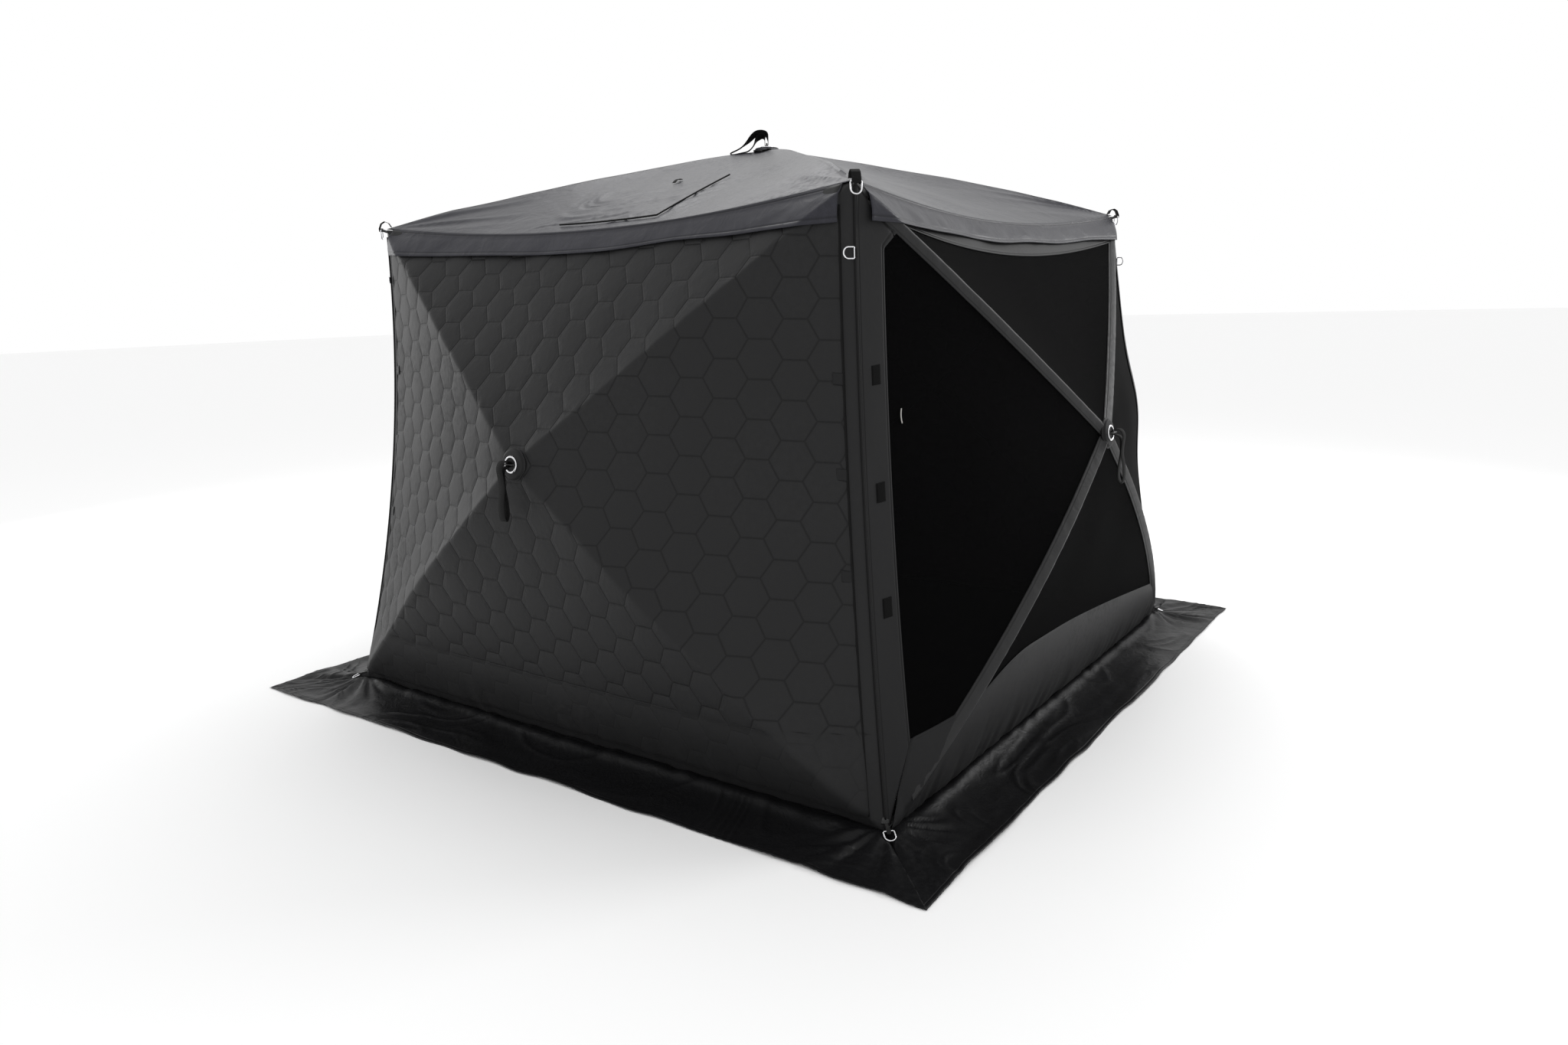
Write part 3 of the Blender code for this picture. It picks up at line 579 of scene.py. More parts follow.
@dataclass
class Nodes:
    """Shorthand for building one node tree."""

    tree: bpy.types.NodeTree

    def add(self, kind: str, **settings: object) -> bpy.types.Node:
        """A new node with its settings."""
        node = self.tree.nodes.new(kind)
        for key, value in settings.items():
            setattr(node, key, value)
        return node

    def feed(self, socket: bpy.types.NodeSocket, value: object) -> None:
        """Links a socket to an output, or sets it to a constant."""
        if isinstance(value, bpy.types.NodeSocket):
            self.tree.links.new(value, socket)
        else:
            socket.default_value = value

    def math(self, operation: str, *values: object) -> bpy.types.NodeSocket:
        """The result of a Math node."""
        node = self.add("ShaderNodeMath", operation=operation)
        for socket, value in zip(node.inputs, values):
            self.feed(socket, value)
        return node.outputs[0]

    def ramp(
        self, value: object, low: float, high: float, first: float = 0.0, last: float = 1.0
    ) -> bpy.types.NodeSocket:
        """A value mapped smoothly from low..high to first..last, and held beyond."""
        node = self.add("ShaderNodeMapRange", interpolation_type="SMOOTHSTEP")
        for socket, each in zip(node.inputs, (value, low, high, first, last)):
            self.feed(socket, each)
        return node.outputs[0]

    def noise(self, vector: object, scale: float, detail: float = 2.0) -> bpy.types.NodeSocket:
        """The value of a Noise Texture."""
        node = self.add("ShaderNodeTexNoise")
        self.feed(node.inputs["Vector"], vector)
        self.feed(node.inputs["Scale"], scale)
        self.feed(node.inputs["Detail"], detail)
        return node.outputs[0]

    def blend(self, share: object, first: object, last: object) -> bpy.types.NodeSocket:
        """A colour between two."""
        node = self.add("ShaderNodeMix", data_type="RGBA")
        self.feed(node.inputs["Factor"], share)
        self.feed(node.inputs["A"], first)
        self.feed(node.inputs["B"], last)
        return node.outputs["Result"]

    def group(self, group: bpy.types.NodeTree, **values: object) -> bpy.types.Node:
        """A node group with its inputs."""
        node = self.add("ShaderNodeGroup", node_tree=group)
        for key, value in values.items():
            self.feed(node.inputs[key.capitalize()], value)
        return node


def new_group(
    name: str, inputs: tuple[tuple[str, str, float], ...], outputs: tuple[str, ...]
) -> tuple[Nodes, bpy.types.Node, bpy.types.Node]:
    """An empty shader node group.

    Args:
        name: The group's name.
        inputs: Name, socket type and default of each input. A vector has no default.
        outputs: Names of its float outputs.

    Returns:
        Its nodes, its input node and its output node.
    """
    tree = bpy.data.node_groups.new(name, "ShaderNodeTree")
    for label, kind, default in inputs:
        socket = tree.interface.new_socket(label, in_out="INPUT", socket_type=kind)
        if kind == "NodeSocketFloat":
            socket.default_value = default
    for label in outputs:
        tree.interface.new_socket(label, in_out="OUTPUT", socket_type="NodeSocketFloat")
    nodes = Nodes(tree)
    return nodes, nodes.add("NodeGroupInput"), nodes.add("NodeGroupOutput")


def honeycomb_group() -> bpy.types.NodeTree:
    """Distance to the nearest side of a honeycomb, by the same formula as honeycomb()."""
    inputs = (("Vector", "NodeSocketVector", 0.0), ("Flat", "NodeSocketFloat", 0.1))
    nodes, into, out = new_group("honeycomb", inputs, ("Distance",))
    split = nodes.add("ShaderNodeSeparateXYZ")
    nodes.feed(split.inputs[0], into.outputs["Vector"])
    flat = into.outputs["Flat"]
    wide = nodes.math("MULTIPLY", flat, math.sqrt(3))
    distances = []
    for shift in (0.0, 0.5):
        sides = []
        for value, period in ((split.outputs[0], wide), (split.outputs[1], flat)):
            moved = nodes.math("MULTIPLY_ADD", period, shift, value)
            half = nodes.math("MULTIPLY", period, 0.5)
            wrapped = nodes.math("WRAP", moved, half, nodes.math("MULTIPLY", period, -0.5))
            sides.append(nodes.math("ABSOLUTE", wrapped))
        halves = nodes.math("MULTIPLY", sides[1], 0.5)
        slanted = nodes.math("MULTIPLY_ADD", sides[0], math.sqrt(3) / 2, halves)
        reach = nodes.math("MAXIMUM", sides[1], slanted)
        distances.append(nodes.math("SUBTRACT", nodes.math("MULTIPLY", flat, 0.5), reach))
    nodes.feed(out.inputs["Distance"], nodes.math("MAXIMUM", *distances))
    return nodes.tree


def weave_group() -> bpy.types.NodeTree:
    """A plain weave: the product of two sine waves across the cloth, and flecks of its threads."""
    inputs = (("Vector", "NodeSocketVector", 0.0), ("Thread", "NodeSocketFloat", 0.0008))
    nodes, into, out = new_group("weave", inputs, ("Height", "Fleck"))
    split = nodes.add("ShaderNodeSeparateXYZ")
    nodes.feed(split.inputs[0], into.outputs["Vector"])
    pace = nodes.math("DIVIDE", math.pi, into.outputs["Thread"])
    waves = [nodes.math("SINE", nodes.math("MULTIPLY", split.outputs[n], pace)) for n in (0, 1)]
    nodes.feed(out.inputs["Height"], nodes.math("MULTIPLY", *waves))
    nodes.feed(out.inputs["Fleck"], nodes.noise(into.outputs["Vector"], 420.0, 3.0))
    return nodes.tree


def crinkle_group() -> bpy.types.NodeTree:
    """Creases of a coated cloth: one less the size of wandering noise, at two sizes."""
    inputs = (("Vector", "NodeSocketVector", 0.0), ("Scale", "NodeSocketFloat", 4.0))
    nodes, into, out = new_group("crinkle", inputs, ("Height",))
    heights = []
    for factor, share in ((1.0, 0.7), (3.3, 0.3)):
        scale = nodes.math("MULTIPLY", into.outputs["Scale"], factor)
        wander = nodes.add("ShaderNodeTexNoise")
        nodes.feed(wander.inputs["Vector"], into.outputs["Vector"])
        nodes.feed(wander.inputs["Scale"], scale)
        nodes.feed(wander.inputs["Detail"], 3.0)
        nodes.feed(wander.inputs["Distortion"], 0.8)
        middle = nodes.math("SUBTRACT", wander.outputs[0], 0.5)
        fold = nodes.math("SUBTRACT", 1.0, nodes.math("MULTIPLY", nodes.math("ABSOLUTE", middle), 5.0))
        heights.append(nodes.math("MULTIPLY", nodes.math("MAXIMUM", fold, 0.0), share))
    nodes.feed(out.inputs["Height"], nodes.math("ADD", *heights))
    return nodes.tree


def dust_group() -> bpy.types.NodeTree:
    """Soft patches of dust and handling: broad noise broken up by fine noise."""
    nodes, into, out = new_group("dust", (("Vector", "NodeSocketVector", 0.0),), ("Mask",))
    broad = nodes.ramp(nodes.noise(into.outputs["Vector"], 2.6, 4.0), 0.38, 0.72)
    fine = nodes.ramp(nodes.noise(into.outputs["Vector"], 60.0, 4.0), 0.35, 0.75)
    nodes.feed(out.inputs["Mask"], nodes.math("MULTIPLY", broad, fine))
    return nodes.tree


@dataclass(frozen=True)
class Groups:
    """The effects that several finishes share."""

    honeycomb: bpy.types.NodeTree
    weave: bpy.types.NodeTree
    crinkle: bpy.types.NodeTree
    dust: bpy.types.NodeTree


Colour = tuple[float, float, float]


@dataclass(frozen=True)
class Finish:
    """What every finish has.

    Attributes:
        name: The material's name.
        colour: Its main colour, linear.
        roughness: Its main roughness.
    """

    name: str
    colour: Colour
    roughness: float

    def start(self) -> tuple[bpy.types.Material, Nodes, bpy.types.Node]:
        """A new material, its nodes and its Principled shader."""
        made = bpy.data.materials.new(self.name)
        made.use_nodes = True
        nodes = Nodes(made.node_tree)
        shader = made.node_tree.nodes["Principled BSDF"]
        shader.inputs["Roughness"].default_value = self.roughness
        return made, nodes, shader

    def shade(self, factor: float) -> tuple[float, float, float, float]:
        """The colour, lighter or darker."""
        return (*(min(c * factor, 1.0) for c in self.colour), 1.0)


def bump_height(nodes: Nodes, shader: bpy.types.Node, height: object) -> None:
    """Feeds a height in metres to the shader's normal."""
    node = nodes.add("ShaderNodeBump")
    nodes.feed(node.inputs["Distance"], 1.0)
    nodes.feed(node.inputs["Strength"], 1.0)
    nodes.feed(node.inputs["Height"], height)
    nodes.feed(shader.inputs["Normal"], node.outputs[0])


@dataclass(frozen=True)
class WovenFinish(Finish):
    """A cloth with a weave, sewing lines and, where its mesh says so, quilting.

    Attributes:
        sheen: Weight of the soft sheen.
        gloss: Level of the mirror-like reflection.
        crinkle: Height of its creases, in metres.
        crease_scale: How many creases to a metre, roughly.
        quilt: Size of the quilting's cells, or 0 for none.
    """

    sheen: float = 0.02
    gloss: float = 0.2
    crinkle: float = 0.0004
    crease_scale: float = 5.0
    quilt: float = 0.0

    def build(self, groups: Groups) -> bpy.types.Material:
        """The material: colour by fleck and dust, painted shade in the grooves of the seams and the
        quilting, and a bump of weave, creases and stitches.
        """
        made, nodes, shader = self.start()
        uv = nodes.add("ShaderNodeUVMap", uv_map="cloth").outputs[0]
        place = nodes.add("ShaderNodeTexCoord").outputs["Object"]
        weave = nodes.group(groups.weave, vector=uv)
        crinkle = nodes.group(groups.crinkle, vector=place, scale=self.crease_scale)
        dust = nodes.group(groups.dust, vector=place)
        sewing = nodes.add("ShaderNodeAttribute", attribute_name="sewing").outputs["Fac"]
        height = nodes.math("MULTIPLY", crinkle.outputs["Height"], self.crinkle)
        height = nodes.math("MULTIPLY_ADD", weave.outputs["Height"], 0.00002, height)
        groove = nodes.ramp(sewing, 0.0, 0.004, 1.0, 0.0)
        if self.quilt:
            amount = nodes.add("ShaderNodeAttribute", attribute_name="quilt").outputs["Fac"]
            cell = nodes.group(groups.honeycomb, vector=uv, flat=self.quilt).outputs["Distance"]
            line = nodes.math("MULTIPLY", nodes.ramp(cell, 0.0, 0.0045, 1.0, 0.0), amount)
            pillow = nodes.math("MULTIPLY", nodes.ramp(cell, 0.0, 0.018), amount)
            pucker = nodes.noise(uv, 55.0, 2.0)
            near = nodes.math("MULTIPLY", nodes.ramp(cell, 0.004, 0.03, 1.0, 0.0), amount)
            height = nodes.math("MULTIPLY_ADD", pillow, 0.0012, height)
            height = nodes.math("MULTIPLY_ADD", nodes.math("MULTIPLY", pucker, near), 0.0016, height)
            groove = nodes.math("MAXIMUM", groove, line)
        height = nodes.math("MULTIPLY_ADD", groove, -0.0012, height)
        worn = nodes.blend(dust.outputs["Mask"], self.shade(1.0), self.shade(1.3))
        fleck = nodes.ramp(weave.outputs["Fleck"], 0.35, 0.7, 0.0, 0.35)
        flecked = nodes.blend(fleck, worn, self.shade(0.6))
        # painted shade: the colour darkens by up to about half in the grooves of the seams and the
        # quilting's lines, where the bump sinks
        sewn = nodes.blend(nodes.math("MULTIPLY", groove, 0.65), flecked, self.shade(0.25))
        nodes.feed(shader.inputs["Base Color"], sewn)
        rough = nodes.ramp(dust.outputs["Mask"], 0.0, 1.0, self.roughness - 0.04, self.roughness + 0.08)
        nodes.feed(shader.inputs["Roughness"], rough)
        shader.inputs["Specular IOR Level"].default_value = self.gloss
        shader.inputs["Sheen Weight"].default_value = self.sheen
        shader.inputs["Sheen Roughness"].default_value = 0.45
        bump_height(nodes, shader, height)
        return made


@dataclass(frozen=True)
class ScreenFinish(Finish):
    """A fine knitted mesh, dark and nearly opaque: painted shade that stands in for the blind's dark inside
    seen through it, with a little of it see-through.

    Attributes:
        cover: How much of it is opaque, set near full so that the screen paints in the shade of the blind's
            dark inside.
        pitch: Distance between its holes.
    """

    cover: float = 0.985
    pitch: float = 0.0016

    def build(self, groups: Groups) -> bpy.types.Material:
        """The material: holes where two sine waves across the cloth are both low."""
        made, nodes, shader = self.start()
        uv = nodes.add("ShaderNodeUVMap", uv_map="cloth").outputs[0]
        weave = nodes.group(groups.weave, vector=uv, thread=self.pitch)
        colour = nodes.blend(nodes.ramp(weave.outputs["Fleck"], 0.3, 0.7), self.shade(0.7), self.shade(1.2))
        nodes.feed(shader.inputs["Base Color"], colour)
        spread = 0.015
        # painted shade: the near-full cover hides the inside behind the screen and shows black in place of
        # its shade
        alpha = nodes.ramp(weave.outputs["Height"], -0.8, 0.8, self.cover - spread, self.cover + spread)
        nodes.feed(shader.inputs["Alpha"], alpha)
        shader.inputs["Specular IOR Level"].default_value = 0.02
        bump_height(nodes, shader, nodes.math("MULTIPLY", weave.outputs["Height"], 0.00003))
        return made


@dataclass(frozen=True)
class WebbingFinish(Finish):
    """Woven band: ribs along its length."""

    def build(self, groups: Groups) -> bpy.types.Material:
        """The material: a coarse weave that follows the band, with painted light and shade: lighter on its
        raised threads and darker in its hollows.
        """
        made, nodes, shader = self.start()
        uv = nodes.add("ShaderNodeUVMap", uv_map="cloth").outputs[0]
        weave = nodes.group(groups.weave, vector=uv, thread=0.0018)
        # painted light and shade: the colour follows the weave's height, darker in its hollows and lighter
        # on its raised threads
        thread = nodes.ramp(weave.outputs["Height"], -1.0, 1.0)
        colour = nodes.blend(thread, self.shade(0.6), self.shade(1.5))
        nodes.feed(shader.inputs["Base Color"], colour)
        shader.inputs["Specular IOR Level"].default_value = 0.15
        bump_height(nodes, shader, nodes.math("MULTIPLY", weave.outputs["Height"], 0.00025))
        return made


@dataclass(frozen=True)
class HardFinish(Finish):
    """Moulded plastic, fibreglass or plated steel.

    Attributes:
        metallic: 1 for bare metal.
        grain: Height of its surface grain, in metres.
        grain_scale: Grains to a metre.
        stretch: How much longer the grain is along Z than across it.
    """

    metallic: float = 0.0
    grain: float = 0.00003
    grain_scale: float = 900.0
    stretch: float = 1.0

    def build(self, groups: Groups) -> bpy.types.Material:
        """The material: grain, and lighter, rougher dust on it."""
        made, nodes, shader = self.start()
        place = nodes.add("ShaderNodeTexCoord").outputs["Object"]
        mapping = nodes.add("ShaderNodeMapping")
        mapping.inputs["Scale"].default_value = (1, 1, 1 / self.stretch)
        nodes.feed(mapping.inputs["Vector"], place)
        dust = nodes.group(groups.dust, vector=place)
        grain = nodes.noise(mapping.outputs[0], self.grain_scale, 2.0)
        colour = nodes.blend(dust.outputs["Mask"], self.shade(1.0), self.shade(1.4))
        toned = nodes.blend(nodes.ramp(grain, 0.3, 0.7, 0.0, 0.3), colour, self.shade(0.6))
        nodes.feed(shader.inputs["Base Color"], toned)
        rough = nodes.ramp(dust.outputs["Mask"], 0.0, 1.0, self.roughness, min(self.roughness + 0.15, 1.0))
        nodes.feed(shader.inputs["Roughness"], rough)
        shader.inputs["Metallic"].default_value = self.metallic
        bump_height(nodes, shader, nodes.math("MULTIPLY", grain, self.grain))
        return made


class Finishes:
    """Every finish of the blind, built once."""

    def __init__(self) -> None:
        """Builds the shared groups and the materials."""
        groups = Groups(honeycomb_group(), weave_group(), crinkle_group(), dust_group())
        quilt = QuiltedWall.cell
        quilted = WovenFinish(
            "quilted_cloth", (0.0155, 0.0155, 0.016), 0.55, gloss=0.15, crinkle=0.0006, quilt=quilt
        )
        plain = WovenFinish("plain_cloth", (0.0105, 0.0105, 0.011), 0.55, gloss=0.15, crease_scale=6.0)
        sleeve = WovenFinish(
            "sleeve_cloth", (0.0185, 0.0185, 0.019), 0.5, gloss=0.2, crinkle=0.0006, crease_scale=14.0
        )
        fly = WovenFinish(
            "fly_cloth", (0.025, 0.025, 0.0315), 0.37, 0.0, 0.17, crinkle=0.0020, crease_scale=3.5
        )
        skirt = WovenFinish(
            "skirt_cloth", (0.006, 0.006, 0.0065), 0.42, 0.0, 0.13, crinkle=0.0014, crease_scale=7.0
        )
        rod = HardFinish("fibreglass", (0.03, 0.03, 0.03), 0.32, 0.0, 0.00004, 500.0, stretch=30.0)
        steel = HardFinish("plated_steel", (0.72, 0.72, 0.74), 0.2, 1.0, 0.000005, 1500.0)
        self.quilted = quilted.build(groups)
        self.plain = plain.build(groups)
        self.sleeve = sleeve.build(groups)
        self.fly = fly.build(groups)
        self.skirt = skirt.build(groups)
        self.screen = ScreenFinish("screen_mesh", (0.0012, 0.0012, 0.0013), 0.8).build(groups)
        self.webbing = WebbingFinish("webbing", (0.004, 0.004, 0.004), 0.75).build(groups)
        self.grip = WebbingFinish("hook_and_loop", (0.002, 0.002, 0.002), 0.95).build(groups)
        self.cord = WebbingFinish("zip_cord", (0.45, 0.44, 0.42), 0.7).build(groups)
        self.plastic = HardFinish("moulded_plastic", (0.012, 0.012, 0.012), 0.42).build(groups)
        self.rod = rod.build(groups)
        self.steel = steel.build(groups)


# ---------------------------------------------------------------- walls


@dataclass
class QuiltedWall:
    """A quilted wall: padded hexagons inside a plain margin, a sewn lower band and side piping.

    Attributes:
        side: Which wall it is.
        outline: The blind's outline.
        steps: Grid cells across.
        cell: Size of a hexagon between its level sides.
        pillow: How far a hexagon swells.
        margin: a beyond which the wall is plain, at its upright edges.
        hem: b below which it is plain.
        seam: b of the seam over the lower band.
        raise_by: How far the quilted part stands above the margin.
        thickness: The cloth's thickness.
        hole: Radius of the hole under the hub's cap.
    """

    side: Side
    outline: Outline
    steps: int = 184
    cell: float = 0.110
    pillow: float = 0.0026
    margin: float = 0.962
    hem: float = -0.955
    seam: float = -0.75
    raise_by: float = 0.003
    thickness: float = 0.0018
    hole: float = 0.026

    def lines(self) -> Array:
        """The grid's places: even ones, and close pairs at the margin so that its step is sharp."""
        even = np.linspace(-1, 1, self.steps + 1)
        pairs = np.array([self.margin - 0.003, self.margin + 0.002])
        even = even[np.min(np.abs(np.abs(even)[:, None] - pairs), axis=1) > 0.003]
        return np.sort(np.concatenate([even, pairs, -pairs]))

    def seam_place(self, a: Array) -> Array:
        """b of the lower seam: level on the wall, so a little higher in b towards its edges."""
        return self.seam + 0.05 * a**4

    def relief(self, a: Array, b: Array, u: Array, v: Array) -> tuple[Array, Array]:
        """Heights above the smooth cloth, and the quilting's amount.

        The height is the sum of the hexagons' swelling, the raised panel, slow waves, folds that
        fan out of the corners and upright gathers near the hem. Each fades out at the edges.
        """
        seed = 11 + 10 * self.side.value
        inside = 1 - ramp(np.abs(a), self.margin - 0.004, self.margin + 0.002)
        inside = inside * ramp(b, self.hem - 0.004, self.hem + 0.004)
        over = ramp(b - self.seam_place(a), -0.012, 0.006)
        amount = inside * (0.3 + 0.7 * over)
        swell = self.pillow * ramp(honeycomb(u, v, self.cell), 0.0, 0.034) * amount
        row = row_of(a, b)
        free = (1 - row**6) * ramp(row, 0.05, 0.25)
        waves = 0.0050 * noise(u, v, 0.42, seed) + 0.0022 * noise(u, v, 0.16, seed + 1)
        height = swell + self.raise_by * inside + waves * free
        # the band under the seam bellies out by 6 mm
        height += 0.006 * inside * (1 - over) * bump(np.clip((b + 1) / (self.seam + 1), 0, 1))
        # folds fan out of the two lower corners, strongest 0.22 m from them
        for sign in (-1, 1):
            corner_u, corner_v = np.max(np.abs(u)) * sign, np.min(v)
            reach = np.hypot(u - corner_u, v - corner_v)
            angle = np.arctan2(v - corner_v, (corner_u - u) * sign)
            fan = noise(angle * 6, reach * 0.4, 1.0, seed + 3) * np.exp(-((reach - 0.22) / 0.16) ** 2)
            height += 0.006 * fan * inside
        # upright gathers just over the hem
        gathers = noise(u, v * 0.12, 0.045, seed + 5)
        height += 0.0035 * gathers * ramp(-b, 0.80, 0.97) * (1 - ramp(np.abs(a), 0.93, 0.99))
        return height, amount

    def build(self, finishes: Finishes) -> None:
        """Builds the wall, its piping and its tabs."""
        panel = wall_panel(self.side, self.outline)
        line = self.lines()
        a, b = np.meshgrid(line, line)
        smooth = panel.surface(a, b)
        u, v = panel.flat(smooth)
        height, amount = self.relief(a, b, u, v)
        points = smooth + grid_normals(smooth) * height[..., None]
        # distances to the sewing lines, in metres: one step of a is about 1.1 m, one of b 0.97 m
        margins = np.abs(np.abs(a) - self.margin) * 1.1
        sewing = np.minimum(np.abs(b - self.seam_place(a)) * 0.97, margins)
        sewing = np.minimum(sewing, np.abs(b - self.hem) * 0.97)
        faces = grid_faces(len(line), len(line), ridge=True)
        middle = smooth[:-1, :-1] / 2 + smooth[1:, 1:] / 2 - panel.apex
        faces = faces[np.linalg.norm(middle, axis=-1) > self.hole]
        row = row_of(a, b)
        values = {"row": row, "quilt": amount, "sewing": sewing}
        cloth = Cloth.from_grid(points, np.stack([u, v], axis=-1), faces, **values)
        name = f"quilted_wall_{self.side.label}"
        piece = add_piece(name, cloth, finishes.quilted, panel, self.thickness)
        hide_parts(f"wall_{self.side.label}")
        width = 2 * float(self.outline.corner(0, Level.BASE)[0])
        trims = [self.piping(panel, sign, finishes) for sign in (-1, 1)]
        trims += [self.tab(panel, sign, level, finishes) for sign in (-1, 1) for level in range(3)]
        LOG.info("%s: %d quads", name, len(cloth.faces))

    def piping(self, panel: Panel, sign: int, finishes: Finishes) -> bpy.types.Object:
        """The corded edge of the quilted part, down one upright margin."""
        radius = 0.0032
        b = np.linspace(self.hem, 0.93, 160)
        a = np.full_like(b, sign * self.margin)
        path = panel.surface(a, b)
        side = unit(np.gradient(path, axis=0))
        across = unit(np.cross(side, panel.normal))
        top = np.cross(across, side)
        row = row_of(a, b)
        cloth = swept(path + top * (self.raise_by * 0.7), across, top, circle(radius, 8), False, row)
        name = f"piping_{self.side.label}_{'right' if sign > 0 else 'left'}"
        return add_piece(name, cloth, finishes.webbing, panel)

    def tab(self, panel: Panel, sign: int, level: int, finishes: Finishes) -> bpy.types.Object:
        """A sewn tab on the quilted part's edge, one of three up each side."""
        half = 0.019
        place = (-0.22, 0.10, 0.40)[level]
        # t runs up the tab and s from the margin inwards; rim is 0 on its edges
        t = np.linspace(-1, 1, 9)
        s = np.linspace(0, 1, 9)
        a = sign * (self.margin - 0.026 * s[None, :]) + 0 * t[:, None]
        b = place + half * t[:, None] + 0 * s[None, :]
        points = panel.surface(a, b)
        rim = bump((t[:, None] + 1) / 2) * bump(s[None, :])
        lift = 0.0052 + 0.0014 * np.minimum(rim * 4, 1)
        points = points + panel.normal * lift[..., None]
        if sign > 0:
            points, a, b, rim = (each[:, ::-1] for each in (points, a, b, rim))
        u, v = panel.flat(points)
        row = row_of(a, b)
        cloth = Cloth.from_grid(points, np.stack([u, v], axis=-1), row=row, sewing=1 - rim * 0.99)
        name = f"tab_{self.side.label}_{'right' if sign > 0 else 'left'}_{level}"
        return add_piece(name, cloth, finishes.plain, panel, 0.0012)


@dataclass
class ScreenWall:
    """The screened wall: four screens, the solid border round them and a sleeve over each pole.

    Attributes:
        outline: The blind's outline.
        side_edge: |a| of the border's inner edge, at the upright sides.
        top_edge: b of the border's inner edge at the top.
        chamfer: Size of the cut corners at the top.
        sleeve: Half the width of a sleeve.
        tube: How far a sleeve stands up over its pole.
        border_lift: How far the border lies above the screens.
    """

    outline: Outline
    side_edge: float = 0.915
    top_edge: float = 0.862
    chamfer: float = 0.07
    sleeve: float = 0.030
    tube: float = 0.006
    border_lift: float = 0.0025

    @property
    def panel(self) -> Panel:
        """The wall's panel."""
        return wall_panel(Side.RIGHT, self.outline)

    def lower_edge(self, a: Array) -> Array:
        """b of the lower band's upper edge: highest where the near sleeve ends on it. The corners
        between its straight runs are rounded by a mean over nearby places."""
        place = (-0.93, -0.7, -0.49, -0.06, 0.3, 0.8, 0.93)
        level = (-0.755, -0.715, -0.640, -0.668, -0.712, -0.785, -0.81)
        near = (-0.10, -0.06, -0.02, 0.02, 0.06, 0.10)
        return sum(np.interp(a + shift, place, level) for shift in near) / len(near)

    def inner(self, t: Array, edge: int) -> tuple[Array, Array]:
        """The border's inner edge along one of its four sides, with its upper corners cut.

        Args:
            t: Places along the side, from left to right or from below upwards.
            edge: 0 lower, 1 right, 2 upper, 3 left.

        Returns:
            a and b.
        """
        s = 2 * t - 1
        low = self.lower_edge(np.full_like(t, self.side_edge * (1 if edge == 1 else -1)))
        if edge in (0, 2):
            a = s * self.side_edge
            b = self.lower_edge(a) if edge == 0 else np.full_like(t, self.top_edge) - 0.02 * bump(t)
        else:
            a = np.full_like(t, self.side_edge * (1 if edge == 1 else -1))
            b = low + (self.top_edge - low) * t
        # what lies past the cut corner's line moves straight back onto it
        excess = np.maximum(np.abs(a) + b - (self.side_edge + self.top_edge - self.chamfer), 0)
        return a - np.sign(a) * excess / 2, b - excess / 2

    def border(self, finishes: Finishes) -> bpy.types.Object:
        """The solid cloth round the screens: four strips from the wall's edge to the inner edge."""
        along, over = 150, 26
        t = np.linspace(0, 1, along)
        parts = []
        for edge in range(4):
            outer_a = (2 * t - 1, np.ones_like(t), 2 * t - 1, -np.ones_like(t))[edge]
            outer_b = (-np.ones_like(t), 2 * t - 1, np.ones_like(t), 2 * t - 1)[edge]
            inner_a, inner_b = self.inner(t, edge)
            s = np.linspace(0, 1, over)[:, None]
            a, b = outer_a + (inner_a - outer_a) * s, outer_b + (inner_b - outer_b) * s
            parts.append(self.strip(a, b, s, edge))
        cloth = parts[0].joined(*parts[1:])
        piece = add_piece("screen_wall_border", cloth, finishes.plain, self.panel)
        weld = piece.modifiers.new("weld", "WELD")
        weld.merge_threshold = 0.00005
        thicken(piece, 0.0012)
        return piece

    def strip(self, a: Array, b: Array, s: Array, edge: int) -> Cloth:
        """One strip of the border, with gathers that hang from its hem and soft waves."""
        panel = self.panel
        smooth = panel.surface(a, b)
        u, v = panel.flat(smooth)
        fade = bump(np.clip(s, 0, 1)) + 0 * a
        height = self.border_lift * ramp(s, 0.0, 0.06) + 0.0016 * noise(u, v, 0.17, 71) * fade
        if edge == 0:
            gather = creases(u, v, 0.035, 5.0, np.full_like(u, math.pi / 2), 72)
            low = 1 - ramp(s, 0.05, 0.75)
            height = height + 0.010 * gather * low * ramp(s, 0.0, 0.05) + 0.020 * fade * bump((a + 1) / 2)
        points = smooth + panel.normal * height[..., None]
        row = row_of(a, b)
        hem = np.minimum(s + 0 * a, 1 - s + 0 * a) * (0.25 if edge == 0 else 0.1)
        sewing = np.abs(hem - 0.008)
        faces = grid_faces(*a.shape)
        if edge in (1, 2):
            faces = faces[..., ::-1]
        return Cloth.from_grid(points, np.stack([u, v], axis=-1), faces, row=row, sewing=sewing)

    def screen(self, name: str, corners: tuple[Corner, Corner], finishes: Finishes) -> None:
        """A screen: its facet from the hub to a little behind the border."""
        panel = self.panel
        (a0, b0), (a1, b1) = corners
        t = np.linspace(0, 1, 61)
        inner_row = 0.05
        # rows just behind the border's inner edge
        reach = {"bottom": 0.84, "far": 0.94, "top": 0.90, "near": 0.94}[name]
        row = np.linspace(inner_row, reach, 41)[:, None]
        a, b = row * (a0 + (a1 - a0) * t), row * (b0 + (b1 - b0) * t)
        if name in ("far", "near"):
            b = np.maximum(b, -0.84)
        points = panel.surface(a, b)
        u, v = panel.flat(points)
        sag = 0.004 * noise(u, v, 0.3, 81) * bump(t) * bump(row / reach)
        points = points + panel.normal * (sag - 0.0008)[..., None]
        rows = row_of(a, b)
        faces = grid_faces(*a.shape)[..., ::-1]
        cloth = Cloth.from_grid(points, np.stack([u, v], axis=-1), faces, row=rows)
        piece = add_piece(f"mesh_{name}", cloth, finishes.screen, panel)
        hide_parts(f"screen_{name}")

